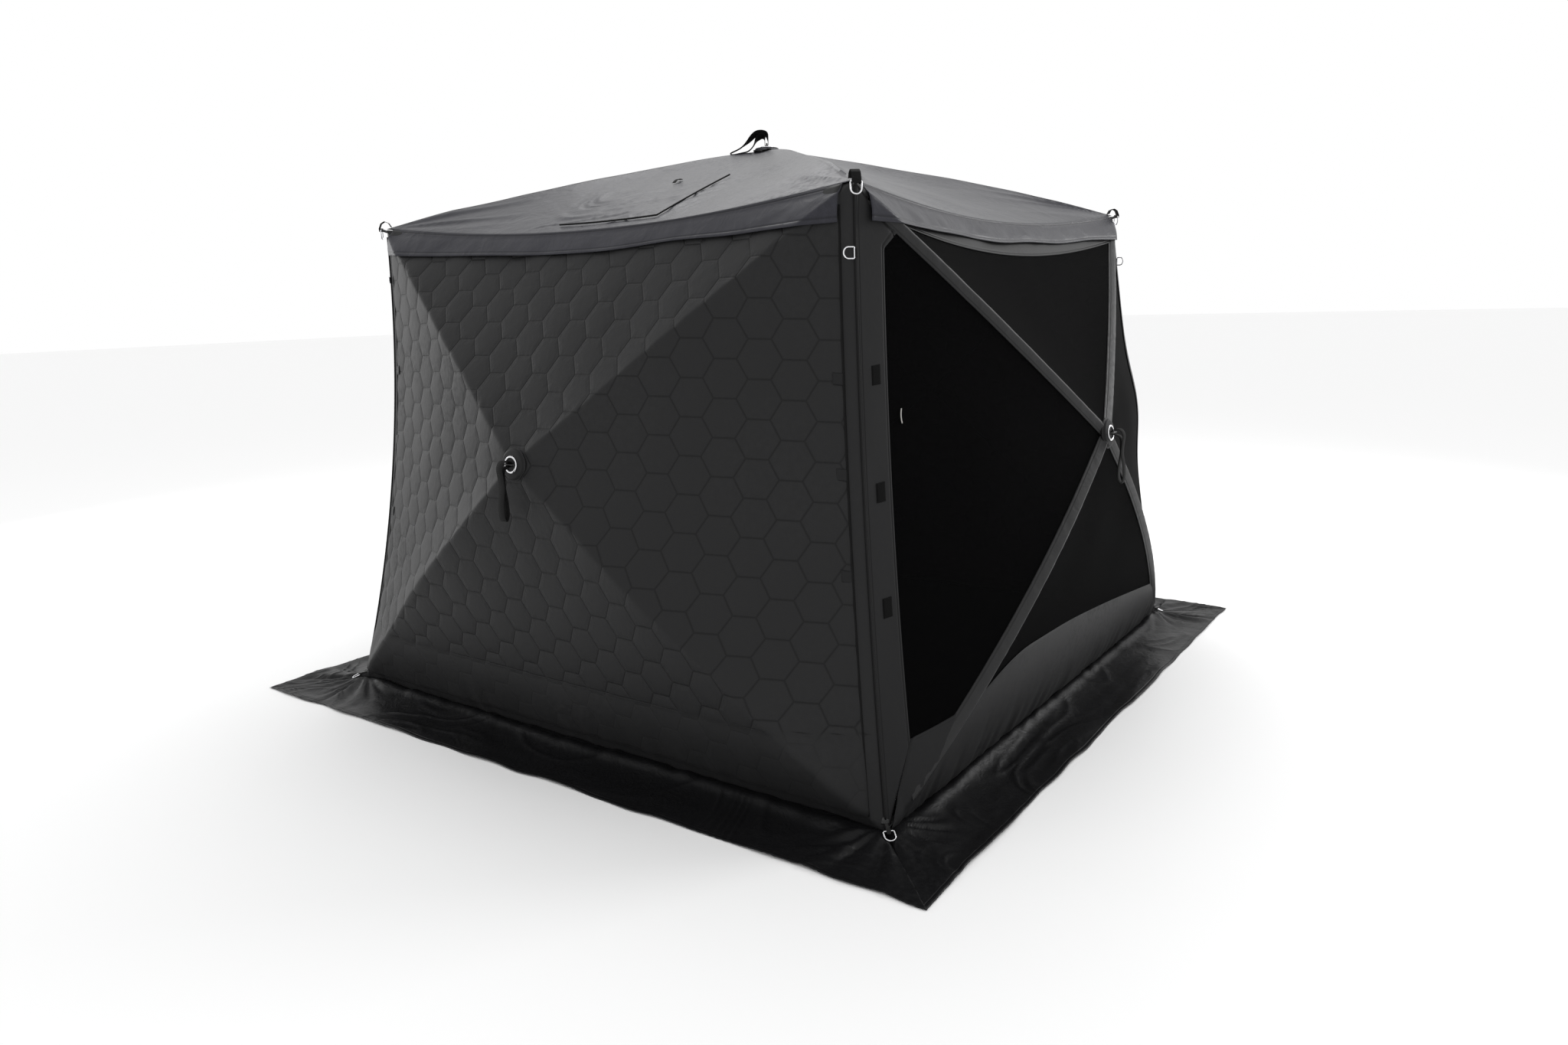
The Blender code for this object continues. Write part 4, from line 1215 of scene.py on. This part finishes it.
    def sleeve_piece(self, name: str, corner: Corner, finishes: Finishes) -> None:
        """A sleeve over a pole: a strip along its ridge that arches over the pole.

        Its height over the ridge is the tube's times (1 - x^2)^2, with x from -1 to 1 across it,
        and small puckers run across it near its two sewn edges.
        """
        panel = self.panel
        row = np.linspace(0.03, 0.93, 260)[:, None]
        x = np.linspace(-1, 1, 21)[None, :]
        if corner[0] * corner[1] < 0:
            x = x[:, ::-1]
        a, b = panel.ridge_place(corner, row + 0 * x, x * self.sleeve + 0 * row)
        smooth = panel.surface(a, b)
        length = float(np.linalg.norm(smooth[-1, 10] - smooth[0, 10]))
        along = row * length + 0 * x
        pucker = noise(along, x * 0.01 + 0 * row, 0.022, 90 + corner[0] + 3 * corner[1])
        arch = self.tube * (1 - x**2) ** 2 + 0.0034 * (1 - x**8)
        height = self.border_lift * 0.4 + arch + 0.0012 * pucker * (1 - x**2) * (0.3 + x**2 * 2)
        points = smooth + panel.normal * height[..., None]
        sewing = np.abs(np.abs(x) - 0.82) * self.sleeve + 0 * row
        uv = np.stack([x * self.sleeve + 0 * row, along], axis=-1)
        rows = row_of(a, b)
        cloth = Cloth.from_grid(points, uv, row=rows, sewing=sewing)
        normal = grid_normals(points)[130, 10]
        if normal @ panel.normal < 0:
            cloth.faces = cloth.faces[:, ::-1]
        piece = add_piece(f"sleeve_{name}", cloth, finishes.sleeve, panel, 0.001)

    def patch(self, level: int, finishes: Finishes) -> bpy.types.Object:
        """A hook-and-loop patch on the near side of the border: a rounded rectangle that stands
        1.5 mm above the cloth."""
        panel = self.panel
        place = (-0.325, 0.039, 0.408)[level]
        s, t = np.linspace(-1, 1, 11), np.linspace(-1, 1, 15)
        a = -0.952 + 0.0135 * s[None, :] + 0 * t[:, None]
        b = place + 0.031 * t[:, None] + 0 * s[None, :]
        points = panel.surface(a, b)
        edge = np.maximum(np.abs(s[None, :]), np.abs(t[:, None]))
        points = points + panel.normal * (0.0052 + 0.0012 * (1 - edge**8))[..., None]
        u, v = panel.flat(points)
        row = row_of(a, b)
        cloth = Cloth.from_grid(points, np.stack([u, v], axis=-1), row=row)
        return add_piece(f"hook_and_loop_{level}", cloth, finishes.grip, panel, 0.0012)

    def zip_pull(self, finishes: Finishes) -> bpy.types.Object:
        """The pale cord on the window cover's zip, hanging just behind the near screen."""
        panel = self.panel
        b = np.linspace(0.238, 0.286, 14)
        a = np.full_like(b, -0.872) - 0.003 * np.sin((b - 0.238) * 60)
        path = panel.surface(a, b) + panel.normal * 0.0025
        cloth = swept(path, panel.across, panel.normal, circle(0.0016, 8), False, np.full(14, 0.885))
        return add_piece("zip_pull", cloth, finishes.cord, panel)

    def build(self, finishes: Finishes) -> None:
        """Builds the wall's pieces."""
        corners = {
            "base_left": (-1, -1),
            "base_right": (1, -1),
            "top_right": (1, 1),
            "top_left": (-1, 1),
        }
        border = self.border(finishes)
        extras = [self.patch(level, finishes) for level in range(3)] + [self.zip_pull(finishes)]
        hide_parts("wall_right_frame")
        width = 2 * float(self.outline.corner(0, Level.BASE)[0])
        facets = {
            "bottom": ((-1, -1), (1, -1)),
            "far": ((1, -1), (1, 1)),
            "top": ((1, 1), (-1, 1)),
            "near": ((-1, 1), (-1, -1)),
        }
        for name, ends in facets.items():
            self.screen(name, ends, finishes)
        for name, corner in corners.items():
            self.sleeve_piece(name, corner, finishes)
        LOG.info("screen wall: border, %d screens, %d sleeves", len(facets), len(corners))


# ---------------------------------------------------------------- roof


@dataclass
class RoofFly:
    """The coated fly, its valances, its sewn-on flap and the tab over it.

    Attributes:
        outline: The blind's outline.
        steps: Grid cells across.
        drop: Height of a valance.
        flap: The flap's half width and its inner and outer distance from the hub, in metres.
    """

    outline: Outline
    steps: int = 200
    drop: float = 0.068
    flap: tuple[float, float, float] = (0.262, 0.575, 0.985)

    @property
    def panel(self) -> Panel:
        """The roof's panel."""
        return roof_panel(self.outline)

    def relief(self, a: Array, b: Array, u: Array, v: Array) -> Array:
        """Heights above the smooth fly.

        Folds fan out of each corner and fade by half a metre from it, small creases run level over
        the flap, and slow waves cross the whole.
        """
        row = row_of(a, b)
        edge = 1 - row**14
        height = 0.004 * noise(u, v, 0.35, 21) + 0.002 * noise(u, v, 0.13, 22)
        # folds fan out of each corner, strongest 0.20 m from it
        for number, (sign_a, sign_b) in enumerate(((1, -1), (1, 1), (-1, 1), (-1, -1))):
            off_u = np.max(np.abs(u)) * sign_a - u
            off_v = np.max(np.abs(v)) * sign_b - v
            reach = np.hypot(off_u, off_v)
            angle = np.arctan2(off_v * sign_b, off_u * sign_a)
            fan = 1 - np.abs(noise(angle * 7, reach * 1.2, 1.0, 23 + number)) * 2
            height += 0.0075 * fan * np.exp(-((reach - 0.20) / 0.26) ** 2)
        # fine creases on the sewn-on flap
        half, near, far = self.flap
        on_flap = ramp(-v, near - 0.03, near + 0.05) * (1 - ramp(np.abs(u), half - 0.01, half + 0.12))
        wind = noise(u, v, 0.2, 31) * 0.5
        crinkled = creases(u, v, 0.034, 6.0, wind, 32)
        height += 0.0060 * crinkled**2 * on_flap * (1 - ramp(-v, far - 0.06, far))
        return height * edge * ramp(row, 0.03, 0.12)

    def build(self, finishes: Finishes) -> None:
        """Builds the fly, its valances and its trims."""
        panel = self.panel
        line = np.linspace(-1, 1, self.steps + 1)
        a, b = np.meshgrid(line, line)
        smooth = panel.surface(a, b)
        u, v = panel.flat(smooth)
        points = smooth + grid_normals(smooth) * self.relief(a, b, u, v)[..., None]
        faces = grid_faces(len(line), len(line), ridge=True)
        middle = smooth[:-1, :-1] / 2 + smooth[1:, 1:] / 2 - panel.apex
        faces = faces[np.linalg.norm(middle, axis=-1) > 0.026]
        row = row_of(a, b)
        # double seams beside the ridges, and one along the fly's edge
        ridge = np.abs(np.abs(a) - np.abs(b)) * 0.7
        sewing = np.minimum(np.abs(1 - row - 0.012), np.abs(ridge - 0.006))
        cloth = Cloth.from_grid(points, np.stack([u, v], axis=-1), faces, row=row, sewing=sewing)
        piece = add_piece("fly", cloth, finishes.fly, panel, 0.0012)
        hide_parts("roof_fly")
        extras = self.flap_pieces(finishes)
        span = 2 * float(self.outline.corner(0, Level.TOP)[0])
        for side in Side:
            self.valance(side, finishes)
        LOG.info("fly: %d quads", len(cloth.faces))

    def valance(self, side: Side, finishes: Finishes) -> None:
        """The valance of one eave: a strip that hangs from the fly's edge.

        It starts on the fly's edge and stands about 15 mm off the wall lower down. Its lower edge
        waves in and out and up and down with slow noise, and it stops short of the corners.
        """
        k = side.value
        first, last = 0.018, 0.982
        t = np.linspace(first, last, 320)[None, :]
        s = np.linspace(0, 1, 16)[:, None]
        top = fly_edge(self.outline, k, t[0])[None]
        out = quarter_turn(k) @ np.array([0.0, -1.0, 0.0])
        along = t * 2.02 + 0 * s
        lower = wall_panel(side, self.outline)
        level = quarter_turn(k) @ np.array([1.0, 0.0, 0.0])
        stand = 0.0150 + 0.0050 * noise(along, s * 0.05, 0.17, 41 + k)
        stand = stand + 0.0022 * noise(along, s * 0.1, 0.06, 45 + k)
        lift = 0.006 * noise(along, 0 * s, 0.28, 49 + k) + 0.030 * np.abs(2 * t - 1) ** 3
        height = top[..., 2] - (self.drop + lift) * s
        a, b = 2 * t - 1 + 0 * s, 1 - 0.09 * s + 0 * t
        # the wall's place behind each point: one step of a is about 1.05 m and one of b 0.78 m
        for _ in range(6):
            wall = lower.surface(a, b)
            a = a + ((top - wall) @ level) / 1.05
            b = b + (height - wall[..., 2]) / 0.78
        behind = lower.surface(a, b)
        start = 0.0045 + 0.0065 * (1 - np.abs(2 * t - 1) ** 6)
        points = behind + out * (start + (stand - start) * ramp(s, 0.0, 0.8))[..., None]
        points = top + (points - top) * ramp(s, -0.35, 0.35)[..., None]
        points[..., 2] = height
        points[0] = top[0]
        uv = np.stack([along, (1 - s) * self.drop + 0 * t], axis=-1)
        sewing = np.minimum(np.abs(s * self.drop - 0.004), np.abs((1 - s) * self.drop - 0.010)) + 0 * t
        faces = grid_faces(*points.shape[:2])[..., ::-1]
        name = f"valance_{side.label}"
        cloth = Cloth.from_grid(points, uv, faces, row=np.ones_like(along), sewing=sewing)
        piece = add_piece(name, cloth, finishes.fly, "root", 0.0012)

    def flap_pieces(self, finishes: Finishes) -> list[bpy.types.Object]:
        """The corded edge of the flap on two sides, and the small tab above it."""
        panel = self.panel
        half, near, far = self.flap
        run = np.concatenate(
            [
                np.stack([np.linspace(-0.7 * half, half, 60)[:-1], np.full(59, -far)], axis=-1),
                np.stack([np.linspace(half, 0.95 * half, 60), np.linspace(-far, -near, 60)], axis=-1),
            ]
        )
        reach = float(np.linalg.norm(panel.surface(np.array(0.0), np.array(-1.0)) - panel.apex))
        a, b = run[:, 0] / reach, run[:, 1] / reach
        path = panel.surface(a, np.maximum(b, -0.995))
        tangent = unit(np.gradient(path, axis=0))
        across = unit(np.cross(tangent, UP))
        row = row_of(a, b)
        cloth = swept(path + UP * 0.006, across, UP, circle(0.0028, 8), False, row)
        piping = add_piece("flap_piping", cloth, finishes.webbing, panel)
        place = panel.surface(np.full(9, -0.03), np.linspace(-0.485, -0.525, 9))
        arch = 0.004 + 0.006 * np.sin(np.linspace(0, math.pi, 9))
        strip = swept(
            place + UP * arch[:, None],
            np.array([1.0, 0.0, 0.0]),
            UP,
            webbing_profile(0.016, 0.0016),
            False,
            np.linspace(0.485, 0.525, 9),
        )
        tab = add_piece("flap_tab", strip, finishes.webbing, panel)
        return [piping, tab]


# ---------------------------------------------------------------- skirt


@dataclass
class GroundSkirt:
    """The skirt that lies out on the ground, one mitred strip to a side.

    Attributes:
        outline: The blind's outline.
        width: How far it reaches from the wall.
        root: Height at which it leaves the wall.
        thickness: The cloth's thickness.
    """

    outline: Outline
    width: float = 0.258
    root: float = 0.018
    thickness: float = 0.0012

    def build(self, side: Side, finishes: Finishes) -> None:
        """Builds one strip.

        w goes from 0 at the wall to 1 at the hem. Its height falls from the root along a curve
        towards the ground, and gathers near the wall, long folds along it, folds that fan out of
        the corners and small creases are added to it.
        """
        k = side.value
        base = float(self.outline.corner(0, Level.BASE)[0])
        seed = 100 + 10 * k
        t = np.linspace(-1, 1, 420)[None, :]
        w = (np.linspace(0, 1, 44) ** 1.1)[:, None]
        inner = base - 0.004
        reach = inner + (base + self.width - inner) * w
        along = t * reach
        out = reach - inner + 0 * t
        height = self.root * (1 - ramp(w, 0.0, 0.55)) + 0.0016
        # gathers at the wall
        gathers = (noise(along, out * 0.3, 0.05, seed) + 1) * (1 - ramp(w, 0.02, 0.4))
        height = height + 0.005 * gathers * ramp(w, 0, 0.04)
        # a long fold that follows the wall
        crest = np.exp(-(((w - 0.16 - 0.03 * noise(along, 0 * w, 0.5, seed + 1)) / 0.07) ** 2))
        height = height + 0.010 * crest * (1 - np.abs(t) ** 8)
        # folds that fan out of the corners
        to_corner = base - np.abs(along)
        angle = np.arctan2(out, to_corner)
        distance = np.hypot(out, to_corner)
        fan = np.abs(noise(angle * 4.2 + np.sign(along) * 3, distance * 2.0, 1.0, seed + 2))
        height = height + 0.016 * fan * np.exp(-(((distance - 0.14) / 0.11) ** 2)) * ramp(w, 0.0, 0.1)
        # small creases all over, and a hem that lifts and wanders a little
        wind = 0.8 * noise(along, out, 0.3, seed + 3)
        folds = creases(along, out, 0.09, 3.0, wind, seed + 4)
        height = height + 0.0042 * folds**3 * ramp(w, 0.05, 0.3) * (1 - 0.5 * ramp(w, 0.8, 1.0))
        height = height + 0.004 * (noise(along, 0 * w, 0.16, seed + 5) + 1) * ramp(w, 0.75, 1.0)
        hem = 0.006 * noise(along, 0 * w, 0.12, seed + 6) * ramp(w, 0.85, 1.0) * (1 - np.abs(t) ** 30)
        points = np.stack([along, -(reach + hem - 0.002) + 0 * t, height + 0 * t], axis=-1)
        # both strips of a corner come down to 4 mm on its mitre
        mitre = 1 - np.abs(t) ** 60
        points[..., 2] = np.maximum(points[..., 2] * mitre + (1 - mitre) * 0.004, self.thickness + 0.0003)
        points = points @ quarter_turn(k).T
        uv = np.stack([along, out], axis=-1)
        sewing = np.minimum(np.abs((1 - w) * self.width - 0.014), 0.05) + 0 * t
        name = f"ground_skirt_{side.label}"
        faces = grid_faces(*points.shape[:2])[..., ::-1]
        cloth = Cloth.from_grid(points, uv, faces, sewing=sewing)
        piece = add_piece(name, cloth, finishes.skirt, "root", self.thickness)
        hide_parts(f"skirt_{side.label}")
        LOG.info("%s: %d quads", name, len(cloth.faces))


# ---------------------------------------------------------------- hardware


# Knots of the pulls' loops, in metres along the pull and out from the staple's bar. The outer
# strand comes first, then the end that hangs or lies on the roof, then the inner strand.
WALL_PULL = (
    (0.004, -0.007), (-0.007, -0.004), (-0.013, 0.010), (-0.008, 0.026),
    (0.010, 0.034), (0.040, 0.031), (0.070, 0.030), (0.110, 0.037),
    (0.150, 0.038), (0.168, 0.031), (0.150, 0.021), (0.110, 0.021),
    (0.070, 0.026), (0.040, 0.026), (0.016, 0.024), (0.007, 0.010),
)
ROOF_PULL = (
    (0.006, -0.004), (-0.004, -0.004), (-0.005, 0.018), (0.002, 0.038),
    (0.022, 0.044), (0.045, 0.038), (0.075, 0.010), (0.105, -0.012),
    (0.140, -0.028), (0.130, -0.033), (0.100, -0.0285), (0.072, -0.022),
    (0.052, -0.004), (0.038, 0.020), (0.020, 0.032), (0.008, 0.024),
)


def smooth_loop(knots: Array, count: int) -> Array:
    """A closed Catmull-Rom curve through knots, at even steps of its parameter."""
    place = np.arange(count) / count * len(knots)
    index, t = np.floor(place).astype(int), (place % 1)[:, None]
    before, first, last, after = (knots[(index + shift) % len(knots)] for shift in (-1, 0, 1, 2))
    cubic = 3 * first - before - 3 * last + after
    square = 2 * before - 5 * first + 4 * last - after
    return first + (t * (last - before) + t**2 * square + t**3 * cubic) / 2


@dataclass
class HubTrim:
    """What shows of a hub: the cloth patch over its cap, its steel ring and its webbing pull.

    Attributes:
        panel: The hub's panel.
        patch_radius: Radius of the patch.
        cap_radius: Radius of the cap under it.
        cap_top: Height of the cap's top above the apex.
        ring_radius: Radius of the ring's centre line.
        wire: Radius of its wire.
        strap_width: Width of the webbing.
        roof_lean: How far the roof's pull twists where it stands free, in radians.
    """

    panel: Panel
    patch_radius: float = 0.052
    cap_radius: float = 0.043
    cap_top: float = 0.0088
    ring_radius: float = 0.0238
    wire: float = 0.0026
    strap_width: float = 0.028
    roof_lean: float = 0.80

    def patch(self, finish: bpy.types.Material, slot: str) -> None:
        """The round patch: it lies on the cloth at its rim and on the cap inside that."""
        panel = self.panel
        r = np.linspace(0.001, self.patch_radius, 26)[:, None]
        angle = np.linspace(0, 2 * math.pi, 97)[None, :-1]
        right = float(np.linalg.norm(panel.surface(np.array(1.0), np.array(0.0)) - panel.apex))
        above = float(np.linalg.norm(panel.surface(np.array(0.0), np.array(1.0)) - panel.apex))
        a, b = r * np.cos(angle) / right, r * np.sin(angle) / above
        ground = panel.surface(a, b)
        level = (ground - panel.apex) @ panel.normal
        level = level + 0.0075 * ramp(r, self.patch_radius * 0.6, self.patch_radius)
        cap = self.cap_top - 0.0015 * (r / self.cap_radius) ** 4 + 0 * angle
        cap = np.where(r < self.cap_radius, cap, self.cap_top - 0.0015 - (r - self.cap_radius) * 1.2)
        height = np.maximum(level, cap)
        x, y = r * np.cos(angle), r * np.sin(angle)
        flat = panel.apex + panel.across * x[..., None] + panel.climb * y[..., None]
        points = flat + panel.normal * height[..., None]
        faces = grid_faces(*points.shape[:2], around=True)[..., ::-1]
        cloth = Cloth.from_grid(
            points,
            np.stack([x, y], axis=-1),
            faces,
            row=row_of(a, b),
            sewing=np.abs(r - self.patch_radius + 0.005) + 0 * angle,
            quilt=0 * a,
        )
        name = f"hub_patch_{panel.name}"
        piece = add_piece(name, cloth, finish, panel, 0.001)

    def grommet(self, finishes: Finishes) -> None:
        """The steel ring that lies round the hub's staple, on the patch."""
        panel = self.panel
        angle = np.arange(64) / 64 * 2 * math.pi
        spoke = np.cos(angle)[:, None] * panel.across + np.sin(angle)[:, None] * panel.climb
        middle = panel.apex + panel.normal * (self.cap_top + 0.0015)
        section = circle(1.0, 12) * np.array([self.wire * 1.25, self.wire])
        ring = swept(middle + spoke * self.ring_radius, spoke, panel.normal, section, True)
        name = panel.name
        add_piece(f"grommet_{name}", ring, finishes.steel, f"hub_{name}")

    def pull(self, finishes: Finishes) -> None:
        """The webbing pull: it stands out of the hub and hangs in a loop, or arches over the roof."""
        panel = self.panel
        bar = np.array(joint(f"strap_{panel.name}_swing")["pos_m"])
        if panel.name == "roof":
            heading = math.radians(-144)
            along = np.array([math.cos(heading), math.sin(heading), 0.0])
            across, out, knots = np.cross(UP, along), UP, ROOF_PULL
        else:
            across, along, out, knots = panel.across, -UP, np.cross(panel.across, UP), WALL_PULL
        curve = smooth_loop(np.array(knots), 140)
        path = bar + curve[:, :1] * along + curve[:, 1:] * out
        tangent = unit(np.roll(path, -1, axis=0) - np.roll(path, 1, axis=0))
        lean = self.roof_lean * ramp(curve[:, 1:], -0.008, 0.030) * (panel.name == "roof")
        side = across * np.cos(lean) + out * np.sin(lean)
        side = unit(side - tangent * (side * tangent).sum(axis=-1, keepdims=True))
        strap = swept(path, side, np.cross(tangent, side), webbing_profile(self.strap_width, 0.0022), True)
        body = f"strap_{panel.name}"
        piece = add_piece(f"pull_{body}", strap, finishes.webbing, body)
        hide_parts(body)


@dataclass
class CornerTrim:
    """The steel D-rings, the webbing that holds them and the welt down each upright edge.

    Attributes:
        outline: The blind's outline.
        half: Half the width of a D-ring.
        straight: Length of its straight sides.
        wire: Radius of its wire.
    """

    outline: Outline
    half: float = 0.015
    straight: float = 0.018
    wire: float = 0.0022

    def ring_line(self) -> Array:
        """The D-ring's centre line as (across, down): a bar with round corners, two straight sides
        and a half circle."""
        bend = 0.004
        corner = np.linspace(0, math.pi / 2, 7)
        right = np.stack([self.half - bend + bend * np.sin(corner), bend - bend * np.cos(corner)], axis=-1)
        bow = np.linspace(0, math.pi, 33)
        arc = np.stack([self.half * np.cos(bow), self.straight + self.half * np.sin(bow)], axis=-1)
        left = right[::-1] * np.array([-1, 1])
        bar = np.stack([np.linspace(-self.half + bend, self.half - bend, 9)[1:-1], np.zeros(7)], axis=-1)
        return np.concatenate([right, arc, left, bar])

    def ring(
        self, name: str, middle: Array, across: Array, down: Array, body: str, finishes: Finishes
    ) -> bpy.types.Object:
        """A D-ring whose bar is at middle."""
        line = self.ring_line()
        path = middle + line[:, :1] * across + line[:, 1:] * down
        tangent = unit(np.roll(path, -1, axis=0) - np.roll(path, 1, axis=0))
        face = np.cross(across, down)
        made = swept(path, np.cross(tangent, face), face, circle(self.wire, 10), True)
        return add_piece(name, made, finishes.steel, body)

    def strip(self, name: str, path: Array, across: Array, width: float, finishes: Finishes) -> None:
        """A flat piece of webbing along a path."""
        tangent = unit(np.gradient(path, axis=0))
        side = unit(np.broadcast_to(across, path.shape))
        made = swept(path, side, np.cross(tangent, side), webbing_profile(width, 0.0018), False)
        add_piece(name, made, finishes.webbing, "root")

    def build(self, k: int, finishes: Finishes) -> None:
        """Builds the trims of corner k."""
        outward = self.outline.outward(k)
        across = np.cross(outward, UP)
        label = CORNERS[k]
        for level in Level:
            node = f"ring_{level.value}_{label}"
            place = np.array(joint(f"{node}_swing")["pos_m"])
            slope = math.radians(-22)
            down = -UP if level is Level.TOP else outward * math.cos(slope) + UP * math.sin(slope)
            piece = self.ring(f"d_{node}", place, across, down, node, finishes)
            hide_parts(node)
        top = self.outline.corner(k, Level.TOP)
        # the tab rises out of the cloth, bends over the corner and ends round the ring's bar
        reach = np.array([-0.016, -0.008, 0.006, 0.019, 0.0265, 0.0255])
        rise = np.array([0.010, 0.024, 0.030, 0.022, 0.004, -0.006])
        share = np.linspace(0, 5, 40)
        out, above = (np.interp(share, np.arange(6), each) for each in (reach, rise))
        path = top + outward * out[:, None] + UP * above[:, None]
        self.strip(f"corner_tab_{label}", path, across, 0.026, finishes)
        t = np.linspace(0.02, 0.985, 140)
        edge = self.outline.upright(k, t) + outward * 0.001
        tangent = unit(np.gradient(edge, axis=0))
        welt = swept(edge, unit(np.cross(tangent, outward)), outward, circle(0.0034, 8), False)
        add_piece(f"corner_welt_{label}", welt, finishes.plain, "root")
        self.second_ring(k, outward, across, finishes)

    def second_ring(self, k: int, outward: Array, across: Array, finishes: Finishes) -> None:
        """The fixed D-ring on the upright edge under the valance, and its short webbing."""
        place = self.outline.upright(k, np.array([0.895]))[0]
        middle = place + across * 0.004 + outward * 0.004
        bow = unit(across + outward * 0.3)
        self.ring(f"d_ring_middle_{CORNERS[k]}", middle, UP, bow, "root", finishes)
        s = np.linspace(-1, 1, 14)[:, None]
        path = place + across * 0.004 * s + outward * (0.0065 - 0.003 * s**2)
        self.strip(f"ring_tab_{CORNERS[k]}", path, UP, 0.022, finishes)


def dress_frame(finishes: Finishes) -> None:
    """Gives the frame's own parts that stay in view their finishes."""
    for name, node in frame["nodes"].items():
        if name.startswith(("hub_", "corner_")):
            finish = finishes.plastic
        elif name.startswith("pole_"):
            finish = finishes.rod
        else:
            continue
        node.data.materials.clear()
        node.data.materials.append(finish)


# ---------------------------------------------------------------- studio


@dataclass(frozen=True)
class Studio:
    """The floor, the light and the camera.

    Attributes:
        place: The camera's place.
        yaw: Its heading from +X, counter-clockwise, in degrees.
        pitch: Its tilt above the horizon, in degrees.
        roll: Its turn about its own axis, in degrees.
        lens: Focal length over a 36 mm wide sensor, in millimetres.
    """

    place: tuple[float, float, float] = (2.523, -3.481, 1.431)
    yaw: float = 125.64
    pitch: float = -11.79
    roll: float = -1.75
    lens: float = 24.38

    def camera(self) -> None:
        """The scene's camera."""
        yaw, pitch, roll = (math.radians(x) for x in (self.yaw, self.pitch, self.roll))
        level_part = math.cos(pitch)
        forward = Vector((level_part * math.cos(yaw), level_part * math.sin(yaw), math.sin(pitch)))
        level = forward.cross(Vector((0, 0, 1))).normalized()
        above = level.cross(forward)
        right = level * math.cos(roll) + above * math.sin(roll)
        top = above * math.cos(roll) - level * math.sin(roll)
        data = bpy.data.cameras.new("camera")
        data.lens = self.lens
        data.sensor_width = 36.0
        camera = bpy.data.objects.new("camera", data)
        matrix = Matrix.Identity(4)
        for column, axis in enumerate((right, top, -forward, Vector(self.place))):
            matrix.col[column][:3] = axis
        camera.matrix_world = matrix
        bpy.context.scene.collection.objects.link(camera)
        bpy.context.scene.camera = camera

    def lights(self) -> None:
        """A white surround, a broad key from the left and a soft top light."""
        world = bpy.data.worlds.new("surround")
        world.use_nodes = True
        background = world.node_tree.nodes["Background"]
        background.inputs["Color"].default_value = (1.0, 1.0, 1.0, 1.0)
        background.inputs["Strength"].default_value = 1.0
        bpy.context.scene.world = world
        for name, place, size, power in (
            ("key", (-6.0, -1.6, 2.0), 2.6, 38.0),
            ("top", (-1.2, 1.4, 5.0), 3.0, 72.0),
            ("rim", (3.6, 3.6, 3.2), 2.0, 90.0),
        ):
            data = bpy.data.lights.new(name, "AREA")
            data.size = size
            data.energy = power
            light = bpy.data.objects.new(name, data)
            light.location = place
            aim = Vector((0, 0, 0.9)) - Vector(place)
            light.rotation_euler = aim.to_track_quat("-Z", "Y").to_euler()
            bpy.context.scene.collection.objects.link(light)

    def exposure(self) -> None:
        """Plain display of the light, so that the pale surround stays white."""
        bpy.context.scene.view_settings.view_transform = "Standard"

    def floor(self) -> None:
        """A plain pale floor."""
        size = 60.0
        mesh = bpy.data.meshes.new("floor")
        corners = [(-size, -size, 0), (size, -size, 0), (size, size, 0), (-size, size, 0)]
        mesh.from_pydata(corners, [], [(0, 1, 2, 3)])
        made = bpy.data.materials.new("floor")
        made.use_nodes = True
        shader = made.node_tree.nodes["Principled BSDF"]
        shader.inputs["Base Color"].default_value = (0.93, 0.93, 0.93, 1.0)
        shader.inputs["Roughness"].default_value = 0.9
        mesh.materials.append(made)
        floor = bpy.data.objects.new("floor", mesh)
        bpy.context.scene.collection.objects.link(floor)


def main() -> None:
    """Builds the studio and the blind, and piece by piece."""
    logging.basicConfig(level=logging.INFO)
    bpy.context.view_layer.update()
    studio = Studio()
    studio.camera()
    studio.lights()
    studio.floor()
    studio.exposure()
    outline = Outline()
    finishes = Finishes()
    dress_frame(finishes)
    for side in (Side.FRONT, Side.BACK, Side.LEFT):
        QuiltedWall(side, outline).build(finishes)
    ScreenWall(outline).build(finishes)
    RoofFly(outline).build(finishes)
    skirt = GroundSkirt(outline)
    for side in Side:
        skirt.build(side, finishes)
    for side in Side:
        trim = HubTrim(wall_panel(side, outline))
        screened = side is Side.RIGHT
        cloth = finishes.plain if screened else finishes.quilted
        trim.patch(cloth, "plain_cloth" if screened else "quilted_cloth")
        trim.grommet(finishes)
        trim.pull(finishes)
    trim = HubTrim(roof_panel(outline))
    trim.patch(finishes.fly, "fly_cloth")
    trim.grommet(finishes)
    trim.pull(finishes)
    corners = CornerTrim(outline)
    for k in range(4):
        corners.build(k, finishes)


if __name__ == "__main__":
    main()
